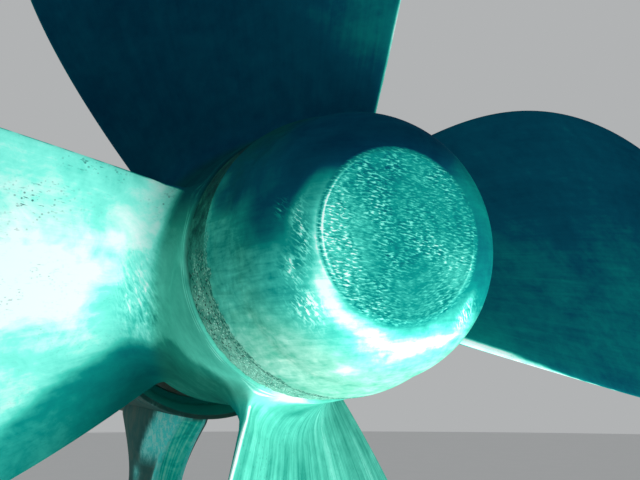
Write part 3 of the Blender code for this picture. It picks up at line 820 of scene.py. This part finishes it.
def boss_tone(point):
    """The boss's tone, with painted shade on top and underneath, and a painted highlight by the bottom blade's
    root.
    """
    turn = turn_at(point)
    # Painted shade: darker towards the top
    tone = BOSS_TONE - (BOSS_TONE - SHADED_TONE) * soft_step(point.z, -0.02, 0.20)
    # Painted shade under the boss, beyond a wavering line
    stain = read_line(turn, SHADE_LINE) + 0.03 * noise.noise(point * 9.0)
    below = soft_step(turn, 198.0, 207.0) * soft_step(turn, 282.0, 268.0)
    tone -= 0.19 * below * soft_step(point.y, stain - 0.02, stain + 0.03)
    tone += 0.06 * bump_at(turn, 236.0, 15.0)
    # Painted highlight on the boss just under the band, by the bottom blade's root
    return tone + 0.38 * bump_at(turn, 259.0, 11.0) * soft_step(point.y, 0.165, 0.130)


def face_change(blade, along, radius, wander):
    """How much lighter or darker the driving face of a blade is at a place than the blade's own tone, mostly
    painted light and shade.
    """
    if blade == LEFT:
        # Left blade: a painted lit patch across its middle, and painted shade beyond a wavering line towards the
        # leading edge
        stain = 0.29 + 1.10 * max(radius - 0.37, 0.0) + 0.05 * wander
        return (0.27 * bump_at(along, -0.22, 0.34) * soft_step(radius, 0.38, 0.50)
                + 0.10 * soft_step(along, 0.20, 0.40) * soft_step(radius, 0.50, 0.62)
                + 0.06 * soft_step(radius, 0.47, 0.38) * soft_step(along, -0.05, -0.40)
                + 0.12 * bump_at(along, -0.56, 0.05) * bump_at(radius, 0.41, 0.03)
                - 0.38 * soft_step(along, stain - 0.05, stain + 0.09))
    if blade == BOTTOM:
        # Bottom blade: a painted highlight near the root, and darker towards the trailing edge
        return (0.12 * bump_at(along, -0.45, 0.50) * soft_step(radius, 0.335, 0.312)
                - 0.08 * soft_step(along, 0.3, -0.2))
    if blade == TOP:
        return (0.13 * soft_step(radius, 0.35, 0.60) * soft_step(along, 0.1, -0.8)
                + 0.08 * soft_step(along, -0.60, -0.90) * soft_step(radius, 0.40, 0.60))
    return (0.10 * soft_step(along, 0.4, -0.4) - 0.03
            + 0.10 * soft_step(along, -0.6, -0.85) * soft_step(radius, 0.62, 0.48))


def blade_tone(point):
    """The casting's tone at a point: patina with painted light and shade over whole blade faces, painted
    highlights along the edges, and the boss's tone near it.
    """
    blade, along, radius, on_face = blade_place(point)
    on_face = on_face and not (blade == BOTTOM and along < -1.0)
    edge_glint_start = 0.985
    if on_face:
        tone = FACE_TONES[blade] + face_change(blade, along, radius, noise.noise(point * 5.0))
        if blade == BOTTOM:
            edge_glint_start = 0.986
        if blade == RIGHT:
            edge_glint_start = 0.955 + 0.04 * soft_step(radius, 0.45, 0.75)
    else:
        tone = BACK_TONE - 0.08 * soft_step(radius, 0.62, 0.42) * (blade == BOTTOM)
    # Bright lines along the edges: painted highlights, partly bare edges, strongest on the trailing edges
    edge = 0.16 if along > 0 else 0.55
    if blade == LEFT:
        edge = 0.02
    tone += (edge * soft_step(abs(along), edge_glint_start, edge_glint_start + 0.012)
             * soft_step(abs(along), 1.07, 1.03))
    reach = 0.028 if blade in (LEFT, BOTTOM) and on_face else 0.11
    near_boss = soft_step(radius, BOSS_MIDDLE_RADIUS + reach, BOSS_MIDDLE_RADIUS + 0.006)
    return tone + (boss_tone(point) - tone) * near_boss


# Spots of pits on the left blade's face, by the place along it and the radius
LEFT_PITS = ((1.0, -0.96, 0.03, 0.50, 0.10),
             (1.0, -0.72, 0.14, 0.59, 0.06),
             (2.1, -0.90, 0.09, 0.342, 0.022),
             (0.7, -0.20, 0.22, 0.56, 0.05))


def blade_marks(blade, along, radius, on_face):
    """How heavily the casting is pitted, brushed across and streaked outwards at a place."""
    outwards = 0.6 * soft_step(radius, 0.33, 0.47)
    if blade == BOTTOM and on_face:
        return 0.3, 0.0, soft_step(radius, 0.306, 0.325)
    if blade != LEFT or not on_face:
        return 0.2, 0.0, outwards
    stroked = bump_at(along, -0.10, 0.34) * soft_step(radius, 0.303, 0.312)
    return (0.12 + spots_at(along, radius, LEFT_PITS), stroked * soft_step(radius, 0.40, 0.345),
            0.30 * outwards)


def keep_on_mesh(mesh, **values_at):
    """Keep values on the mesh, each one number or three for a vertex."""
    for name, value_at in values_at.items():
        values = [value_at(vertex.co) for vertex in mesh.vertices]
        if isinstance(values[0], tuple):
            kept = mesh.attributes.new(name, "FLOAT_VECTOR", "POINT")
            kept.data.foreach_set("vector", [value for vector in values for value in vector])
        else:
            kept = mesh.attributes.new(name, "FLOAT", "POINT")
            kept.data.foreach_set("value", values)


def make_casting():
    """Boss and four blades in one piece."""
    casting = add_piece("propeller_bronze", turned(boss_outline()), BLADE_BRONZE)
    for number in range(BLADE_COUNT):
        angle = FIRST_BLADE_ANGLE + math.tau * number / BLADE_COUNT
        blade = add_piece("blade_form", blade_form(angle), BLADE_BRONZE)
        apply_boolean(casting, blade, "UNION")

    def blade_map(point):
        blade, along, radius, on_face = blade_place(point)
        return along * 0.5, radius, blade + 0.5 * on_face

    smooth(casting.data, 38.0)
    keep_on_mesh(casting.data, tone=blade_tone, blade_map=blade_map,
                 marks=lambda point: blade_marks(*blade_place(point)))
    settle(casting, "propeller", "propeller_casting")


def cap_outer_outline():
    """Outer curve of the cap: a gently narrowing skirt, then a dome down to the flat face."""
    points = []
    for share in spaced(0.0, 1.0, CAP_SKIRT_STATIONS)[:-1]:
        narrowing = (CAP_RADIUS - CAP_SHOULDER_RADIUS) * share ** CAP_SKIRT_BEND
        points.append((-CAP_SHOULDER_LENGTH * share, CAP_RADIUS - narrowing,
                       FINE_EDGE * (share == 0.0)))
    for turn in spaced(0.0, CAP_DOME_TURN, CAP_DOME_STATIONS):
        reach = math.sin(turn) / math.sin(CAP_DOME_TURN)
        drop = (1 - math.cos(turn)) / (1 - math.cos(CAP_DOME_TURN))
        points.append((-CAP_SHOULDER_LENGTH - (CAP_LENGTH - CAP_SHOULDER_LENGTH) * reach,
                       CAP_SHOULDER_RADIUS - (CAP_SHOULDER_RADIUS - CAP_FACE_RADIUS) * drop,
                       CAP_FACE_EDGE * (turn == CAP_DOME_TURN)))
    return points


# Marks on the cap. The left end of its painted shade on top, as (radius, turn in degrees); the painted highlight
# band round the lower shoulder under its face, partly worn bare, as (turn, radius); then lighter or darker spots,
# one of them a painted highlight along the face's left rim, and scuffs, by turn and radius.
SHADE_END = ((0.150, 142.0), (0.180, 154.0), (0.194, 170.0), (0.206, 183.0), (0.234, 184.0),
            (0.262, 175.0), (0.280, 163.0))
HIGHLIGHT_BAND = ((200.0, 0.168), (242.0, 0.181), (262.0, 0.188), (282.0, 0.188), (312.0, 0.212))
CAP_SPOTS = ((0.24, 253.0, 3.0, 0.240, 0.007),
             (0.24, 322.0, 7.0, 0.178, 0.007),
             (0.24, 198.0, 5.0, 0.203, 0.004),
             (0.40, 188.0, 24.0, 0.157, 0.008),
             (-0.10, 190.0, 10.0, 0.190, 0.018))
CAP_SCUFFS = ((1.0, 175.0, 9.0, 0.187, 0.008),
              (1.0, 186.0, 12.0, 0.178, 0.010),
              (1.0, 199.0, 7.0, 0.200, 0.013),
              (1.0, 170.0, 4.0, 0.211, 0.006),
              (1.0, 218.0, 9.0, 0.208, 0.016),
              (1.0, 318.0, 8.0, 0.190, 0.014))
CAP_FACE_TONE = 0.535
CAP_SIDE_TONE = 0.58


def cap_tone(point):
    """The cap's tone: painted shade above and to the right, painted light underneath, and a painted highlight
    round the lower shoulder, partly worn bare.
    """
    turn, radius = turn_at(point), radius_at(point)
    # Painted highlight on the rim of the flat face, strongest on the left, partly a bare edge
    on_edge = bump_at(radius, CAP_FACE_RADIUS, 0.0025) * (point.y < -CAP_LENGTH + 0.006)
    on_edge *= 0.06 + 0.60 * bump_at(turn, 172.0, 36.0) + 0.22 * bump_at(turn, 335.0, 24.0)
    # On the flat face: darker towards the top, as painted shade
    if point.y < -CAP_LENGTH + 0.002:
        return CAP_FACE_TONE - 0.09 * soft_step(point.z, -0.09, 0.10) + on_edge
    # Painted shade over the upper part, ending on a wavering line on the left
    shade_end = read_line(radius, SHADE_END) + 12.0 * noise.noise(point * 15.0)
    painted_shade = soft_step(turn, 30.0, 66.0) * soft_step(turn, shade_end + 8.0, shade_end - 14.0)
    shade_easing = 0.13 * soft_step(turn, 115.0, 165.0) + 0.09 * soft_step(turn, 162.0, 178.0)
    tone = CAP_SIDE_TONE - (CAP_SIDE_TONE - SHADED_TONE - shade_easing) * painted_shade
    tone += 0.05 * bump_at(turn, 196.0, 9.0) * soft_step(radius, 0.230, 0.245)
    # Painted light underneath, and painted shade on the right side
    tone += 0.21 * soft_step(-point.z, 0.06, 0.22)
    tone -= 0.19 * bump_at((turn + 180.0) % 360.0, 180.0, 44.0) * (1.0 - painted_shade)
    # Painted highlight round the lower shoulder under the face, partly worn bare
    lower = soft_step(turn, 197.0, 213.0) * soft_step(turn, 330.0, 312.0)
    width = 0.018 + 0.012 * noise.noise(point * 26.0)
    worn = 0.26 + 0.16 * bump_at(turn, 212.0, 22.0)
    tone += worn * lower * bump_at(radius, read_line(turn, HIGHLIGHT_BAND), width)
    # Painted shade just under the face's lower edge, holding down the lamp's highlight there
    tone -= 0.20 * bump_at(turn, 262.0, 34.0) * soft_step(radius, 0.168, 0.156)
    tone += spots_at(turn, radius, CAP_SPOTS)
    return tone + on_edge + 0.10 * soft_step(point.y, -0.004, -0.001)


def cap_scuff(point):
    """How heavily the cap is scuffed at a point."""
    return min(spots_at(turn_at(point), radius_at(point), CAP_SCUFFS), 1.0)


def make_cap():
    """The boss cap with its flat end face."""
    inside = CAP_SPIGOT_RADIUS - CAP_WALL
    seat = BAND_LENGTH - SEAT_GAP
    outline = [(CAP_WALL - CAP_LENGTH, 0.0, 0.0),
               (CAP_WALL - CAP_LENGTH, CAP_FACE_RADIUS - CAP_WALL, 0.0),
               (-CAP_LENGTH * 0.6, inside - CAP_WALL, 0.0),
               (-CAP_LENGTH * 0.2, inside, 0.0),
               (seat, inside, 0.0),
               (seat, CAP_SPIGOT_RADIUS, 0.0),
               (0.0, CAP_SPIGOT_RADIUS, 0.0)]
    outline += cap_outer_outline() + [(-CAP_LENGTH, 0.0, 0.0)]
    cap = add_piece("boss_cap_bronze", turned(rounded(outline), CAP_STEPS), CAP_BRONZE)
    keep_on_mesh(cap.data, tone=cap_tone, scuff=cap_scuff)
    settle(cap, "propeller", "boss_cap")


def make_band():
    """The joint band: a tapered ring of rough cement, grainy all round."""
    start, end = SEAT_GAP, BAND_LENGTH - SEAT_GAP
    inner = CAP_SPIGOT_RADIUS + SEAT_GAP
    outer = zip(spaced(start, end, BAND_ROWS),
                spaced(BAND_AFT_RADIUS, BAND_FORWARD_RADIUS, BAND_ROWS))
    bm = turned([(start, inner), *outer, (end, inner)], BAND_STEPS)
    for vertex in bm.verts:
        radius = radius_at(vertex.co)
        if radius < BAND_AFT_RADIUS - 0.001:
            continue
        grainy = soft_step(-vertex.co.z, -0.06, 0.12)
        depth = limited(0.5 + 0.5 * noise.fractal(vertex.co * 95.0, 1.0, 2.0, 3))
        depth *= 0.35 + 0.65 * grainy
        edge = min(vertex.co.y, BAND_LENGTH - vertex.co.y) / BAND_EDGE
        depth += max(1.0 - edge, 0.0) * 0.5
        scale = 1.0 - depth * BAND_GRAIN / radius
        vertex.co.x *= scale
        vertex.co.z *= scale
    settle(add_piece("joint_cement", bm, BAND_CEMENT, 70.0), "propeller",
           "cap_joint_band")


def make_shaft():
    """The tail shaft, with its coupling flange drilled for eight bolts."""
    start, end, coupling = sizes_of("tail_shaft")
    flange = end - COUPLING_THICKNESS
    taper_end = SHAFT_RADIUS - (BOSS_END - BAND_LENGTH) * SHAFT_TAPER
    outline = [(start, 0.0, 0.0),
               (start, THREAD_RADIUS, 0.006),
               (BAND_LENGTH, THREAD_RADIUS, 0.0),
               (BAND_LENGTH, taper_end, FINE_EDGE),
               (BOSS_END, SHAFT_RADIUS, 0.0),
               (flange, SHAFT_RADIUS, COUPLING_FILLET),
               (flange, coupling, FINE_EDGE),
               (end, coupling, FINE_EDGE),
               (end, 0.0, 0.0)]
    shaft = add_piece("tail_shaft_steel", turned(rounded(outline, 8)), SHAFT_STEEL)
    centres = [around(COUPLING_HOLE_CIRCLE, turn, (flange + end) / 2)
               for turn in spaced(0.0, math.tau, COUPLING_HOLES)[:-1]]
    drill(shaft, centres, (0, 1, 0), COUPLING_HOLE_RADIUS, COUPLING_THICKNESS * 1.3)
    settle(shaft, "propeller", "tail_shaft")


def make_bolt(node, direction, shank, head, body):
    """A hexagon bolt with a chamfered head, in the place of its CAD node."""
    low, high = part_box(node)
    middle = (low + high) / 2 - ORIGIN
    axis = Vector(direction)
    length = (high - low).dot(axis * axis.dot(Vector((1, 1, 1))))
    flats = (high.x - low.x) / 2 * math.cos(math.pi / 6)
    crown = flats * BOLT_CROWN
    loops = [[] for _ in range(6)]
    for turn in spaced(0.0, math.tau, HOLE_STEPS)[:-1]:
        hexagon = flats / math.cos(turn % (math.pi / 3) - math.pi / 6)
        slope = (hexagon - crown) * math.tan(math.pi / 6)
        heights = ((crown, 0.0), (hexagon, slope), (hexagon, head - SEAT_GAP),
                   (shank, head - SEAT_GAP), (shank, length - BOLT_END_EDGE),
                   (shank - BOLT_END_EDGE, length))
        for loop, (radius, depth) in zip(loops, heights):
            loop.append(around(radius, turn, length / 2 - depth))
    bm, _ = skin(loops)
    placed = Vector((0, 1, 0)).rotation_difference(axis).to_matrix().to_4x4()
    placed.translation = middle
    bm.transform(placed)
    settle(add_piece(node + "_steel", bm, FASTENER_STEEL, 12.0), body, node)
    return middle


def make_bolted_ring(node, inner, looks, coat, body):
    """A ring with its bolts. looks is +1 where the heads look forward, -1 where they look aft."""
    start, end, outer = sizes_of(node)
    piece = add_piece(node + "_turned", turned_ring(start, end, inner, outer), coat)
    centres = []
    for number in range(SMALL_BOLTS):
        name = f"{node}_bolt_{number + 1}"
        centre = make_bolt(name, (0, looks, 0), SMALL_SHANK, SMALL_HEAD, body)
        centres.append(Vector((centre.x, (start + end) / 2, centre.z)))
    drill(piece, centres, (0, 1, 0), SMALL_SHANK + SEAT_GAP, (end - start) * 1.5)
    settle(piece, body, node)


def make_line_pieces():
    """Liner and gland ring on the shaft, bush and keeper rings in the barrel."""
    start, end, _ = sizes_of("shaft_liner")
    liner = add_piece("liner_turned",
                      turned_ring(start, end, SHAFT_RADIUS + SEAT_GAP, LINER_RADIUS), LINER_BRONZE)
    settle(liner, "propeller", "shaft_liner")
    make_bolted_ring("boss_gland_ring", LINER_RADIUS + SEAT_GAP, 1, LINER_BRONZE,
                     "propeller")
    start, end, outer = sizes_of("bearing_bush")
    bush = add_piece("bush_rubber",
                     turned_ring(start, end, LINER_RADIUS + BEARING_CLEARANCE, outer, 0.001),
                     BEARING_RUBBER)
    settle(bush, "bracket", "bearing_bush")
    for node, looks in (("bush_keeper_aft", -1), ("bush_keeper_forward", 1)):
        make_bolted_ring(node, LINER_RADIUS + RING_CLEARANCE, looks, FASTENER_STEEL,
                         "bracket")


def make_barrel():
    """The barrel of the bracket, with a thin rim round the recess at its after end."""
    floor = BARREL_START + RECESS_DEPTH
    bore = sizes_of("bearing_bush")[2] + SEAT_GAP
    outline = [(floor, bore, 0.0),
               (floor, RECESS_RADIUS, 0.010),
               (BARREL_START, RECESS_MOUTH_RADIUS, RIM_EDGE),
               (BARREL_START, BARREL_RADIUS, RIM_EDGE),
               (BARREL_END, BARREL_RADIUS, BARREL_FORWARD_EDGE),
               (BARREL_END, bore, FINE_EDGE)]
    barrel = add_piece("barrel_coated", turned(rounded(outline, 8)), BRACKET_PAINT)

    # Where the painted light inside the recess goes
    def inside(point):
        within = soft_step(radius_at(point), RECESS_MOUTH_RADIUS + 0.004,
                           RECESS_MOUTH_RADIUS - 0.002)
        return within * (point.y < floor + 0.005)

    keep_on_mesh(barrel.data, inside=inside)
    settle(barrel, "bracket", "bracket_barrel")


def arm_flaring(away):
    """How far the arm is flared at a distance from one of its ends: 1 at the end, 0 between."""
    return limited(1 - away / ARM_FLARE_REACH)


def arm_sizes(distance, reach):
    """Half chord, half thickness and after half width of the arm at a distance down from the
    shaft line."""
    near_barrel = arm_flaring(distance - BARREL_RADIUS)
    near_palm = arm_flaring(reach - distance)
    flare = ARM_ROOT_FLARE * near_barrel ** 2 + ARM_FOOT_FLARE * near_palm ** 2
    widest = ARM_THICKNESS / 2 + flare * ARM_SIDE_FLARE * (1 - 0.5 * near_barrel)
    narrowing = (ARM_AFT_WIDTH - ARM_AFT_WIDTH_AT_RIM) / 2
    after = ARM_AFT_WIDTH / 2 - narrowing * near_barrel + flare * ARM_SIDE_FLARE * near_palm
    return ARM_CHORD / 2 + flare, widest, after


def arm_outline(after, widest):
    """Half of the arm's section as (along, half width) pairs: half of the blunt after edge,
    a flank that swells towards the middle, and half of the rounded forward edge."""
    blunt = [(-1.0, width) for width in spaced(0.0, after * ARM_EDGE_FLAT, 8)]
    flank = [(-ARM_EDGE_ALONG * share, after + (widest - after) * (1 - share ** ARM_SWELL))
             for share in spaced(1.0, 0.0, 20)[:-1]]
    front = [(math.sin(turn), widest * math.cos(turn)) for turn in spaced(0.0, math.pi / 2, 16)]
    return blunt + flank + front


def make_arm():
    """The single arm, a strut from the barrel down to the palm, flared at both ends."""
    down = Vector((-math.sin(ARM_LEAN), 0.0, -math.cos(ARM_LEAN)))
    across = Vector((math.cos(ARM_LEAN), 0.0, -math.sin(ARM_LEAN)))
    palm_top = PALM_HIGH.z + SEAT_GAP - SHAFT_Z
    reach = -palm_top / math.cos(ARM_LEAN)
    loops = []
    for distance in spaced(ARM_START, reach, ARM_LEVELS):
        half_chord, widest, after = arm_sizes(distance, reach)
        half = arm_outline(after, widest)
        loop = []
        for along, width in half + [(along, -width) for along, width in reversed(half[1:-1])]:
            point = down * distance + across * width
            point.y = ARM_STATION + half_chord * along
            slide = (point.z - palm_top) / -down.z - (reach - distance)
            loop.append(point + down * slide * arm_flaring(reach - distance))
        loops.append(loop)
    arm = add_piece("arm_coated", skin(loops)[0], BRACKET_PAINT)
    clear = BARREL_RADIUS + SEAT_GAP
    start, end = BARREL_START - ARM_CUT_MARGIN, BARREL_END + ARM_CUT_MARGIN
    core = turned([(start, 0.0), (start, clear), (end, clear), (end, 0.0)])
    apply_boolean(arm, add_piece("arm_end", core, BRACKET_PAINT), "DIFFERENCE")
    smooth(arm.data, 24.0)

    def behind_edge(point):
        half_chord, _, _ = arm_sizes(point.dot(down), reach)
        return point.y - (ARM_STATION - half_chord)

    def wear(point):
        forward = behind_edge(point)
        low = point.dot(down)
        patch = soft_step(forward, 0.150, 0.110) * soft_step(low, 0.50, 0.44)
        patch += 0.6 * bump_at(low, 0.53, 0.02) * bump_at(forward, 0.14, 0.03)
        on_ridge = bump_at(forward, 0.004, 0.006) * (abs(point.dot(across)) > 0.030)
        return patch * (point.dot(across) < 0.0) * soft_step(forward, 0.004, 0.012) + on_ridge

    def arm_map(point):
        low = point.dot(down)
        _, widest, _ = arm_sizes(low, reach)
        return point.dot(across) / widest, point.y, low

    keep_on_mesh(arm.data, wear=wear, arm_map=arm_map,
                 after_face=lambda point: soft_step(behind_edge(point), 0.010, 0.004))
    settle(arm, "bracket", "bracket_arm")


def make_palm():
    """The flat foot of the bracket, drilled for its bolts."""
    centres = [make_bolt(f"palm_bolt_{number + 1}", (0, 0, 1), PALM_SHANK, PALM_HEAD, "bracket")
               for number in range(PALM_BOLTS)]
    bottom = PALM_LOW.z - ORIGIN.z
    top = PALM_HIGH.z - ORIGIN.z
    levels = [(bottom, PALM_CHAMFER), (bottom + PALM_CHAMFER, 0.0)]
    levels += [(top - PALM_EDGE * (1 - math.sin(turn)), PALM_EDGE * (1 - math.cos(turn)))
               for turn in spaced(0.0, math.pi / 2, 6)]
    loops = []
    for level, inset in levels:
        size = PALM_CORNER - inset
        loop = []
        for corner, (x_side, y_side) in enumerate(((1, 1), (-1, 1), (-1, -1), (1, -1))):
            x = x_side * (PALM_HIGH.x - PALM_CORNER) - ORIGIN.x
            y = y_side * (PALM_HIGH.y - PALM_CORNER) - ORIGIN.y
            start = math.pi / 2 * corner
            loop += [(x + size * math.cos(turn), y + size * math.sin(turn), level)
                     for turn in spaced(start, start + math.pi / 2, CORNER_STEPS)]
        loops.append(loop)
    palm = add_piece("palm_coated", skin(loops)[0], BRACKET_PAINT)
    for centre in centres:
        centre.z = (bottom + top) / 2
    drill(palm, centres, (0, 0, 1), PALM_SHANK + SEAT_GAP, (top - bottom) * 1.5)
    settle(palm, "bracket", "bracket_palm")


def coat_stand_ins():
    """Node materials for the CAD nodes that show as they are."""
    coats = {"bronze": BLADE_BRONZE, "cement": BAND_CEMENT, "liner_bronze": LINER_BRONZE,
             "shaft_steel": SHAFT_STEEL, "bracket_paint": BRACKET_PAINT,
             "bearing": BEARING_RUBBER, "fastener": FASTENER_STEEL}
    slots = {row["node"]: row["material_slot"] for row in frame["record"]["subparts"]}
    for name, node in frame["nodes"].items():
        node.data.materials.clear()
        node.data.materials.append(coats[slots[name]])


# Camera: where the photograph was taken from, by a fit to the hub and the blades' edges
CAMERA_PLACE = ORIGIN + Vector((-0.7061, -1.5311, -0.2668))
CAMERA_AZIMUTH = math.radians(-23.387)
CAMERA_ELEVATION = math.radians(-10.024)
CAMERA_LENS = 48.375
CAMERA_SENSOR = 36.0

# Lights, both aimed at the hub, and the plain surroundings
HUB = ORIGIN + Vector((0.0, 0.3, 0.0))
KEY_PLACE = ORIGIN + Vector((0.55, -1.30, -1.76))
BACK_PLACE = ORIGIN + Vector((2.5, 4.0, 2.0))
BACKDROP_COLOUR = (0.80, 0.82, 0.83, 1.0)
BACKDROP_STRENGTH = 0.55
FLOOR_RADIUS = 40.0
FLOOR_STEPS = 96
FLOOR_DROP = 0.001


def aim(thing, direction):
    """Turn a camera or lamp to look along a direction."""
    thing.rotation_mode = "QUATERNION"
    thing.rotation_quaternion = direction.to_track_quat("-Z", "Y")


def make_camera():
    """The photograph's view."""
    data = bpy.data.cameras.new("camera")
    data.lens = CAMERA_LENS
    data.sensor_width = CAMERA_SENSOR
    camera = put("camera", data, CAMERA_PLACE)
    aim(camera, Vector((-math.sin(CAMERA_AZIMUTH) * math.cos(CAMERA_ELEVATION),
                        math.cos(CAMERA_AZIMUTH) * math.cos(CAMERA_ELEVATION),
                        -math.sin(CAMERA_ELEVATION))))
    bpy.context.scene.camera = camera


def make_floor():
    """A plain pale floor."""
    bm = bmesh.new()
    bmesh.ops.create_circle(bm, cap_ends=True, segments=FLOOR_STEPS, radius=FLOOR_RADIUS)
    floor = put("floor", mesh_of("floor", bm, pale_paint()),
                (SHAFT_X, 0.0, CAD_BOX[0].z - FLOOR_DROP))


def make_lights():
    """Soft studio light: the main one from low in front, as in the photograph."""
    for name, place, size, power, spread in (("key", KEY_PLACE, 1.1, 31.0, 124.0),
                                             ("back", BACK_PLACE, 3.0, 120.0, 180.0)):
        data = bpy.data.lights.new(name, "AREA")
        data.size = size
        data.energy = power
        data.spread = math.radians(spread)
        lamp = put(name, data, place)
        lamp.visible_camera = False
        aim(lamp, HUB - place)
    world = bpy.data.worlds.new("studio")
    world.use_nodes = True
    backdrop = world.node_tree.nodes["Background"]
    backdrop.inputs["Color"].default_value = BACKDROP_COLOUR
    backdrop.inputs["Strength"].default_value = BACKDROP_STRENGTH
    bpy.context.scene.world = world
    bpy.context.scene.view_settings.view_transform = "Standard"


make_casting()
make_cap()
make_band()
make_shaft()
make_line_pieces()
make_barrel()
make_arm()
make_palm()
coat_stand_ins()
make_camera()
make_floor()
make_lights()
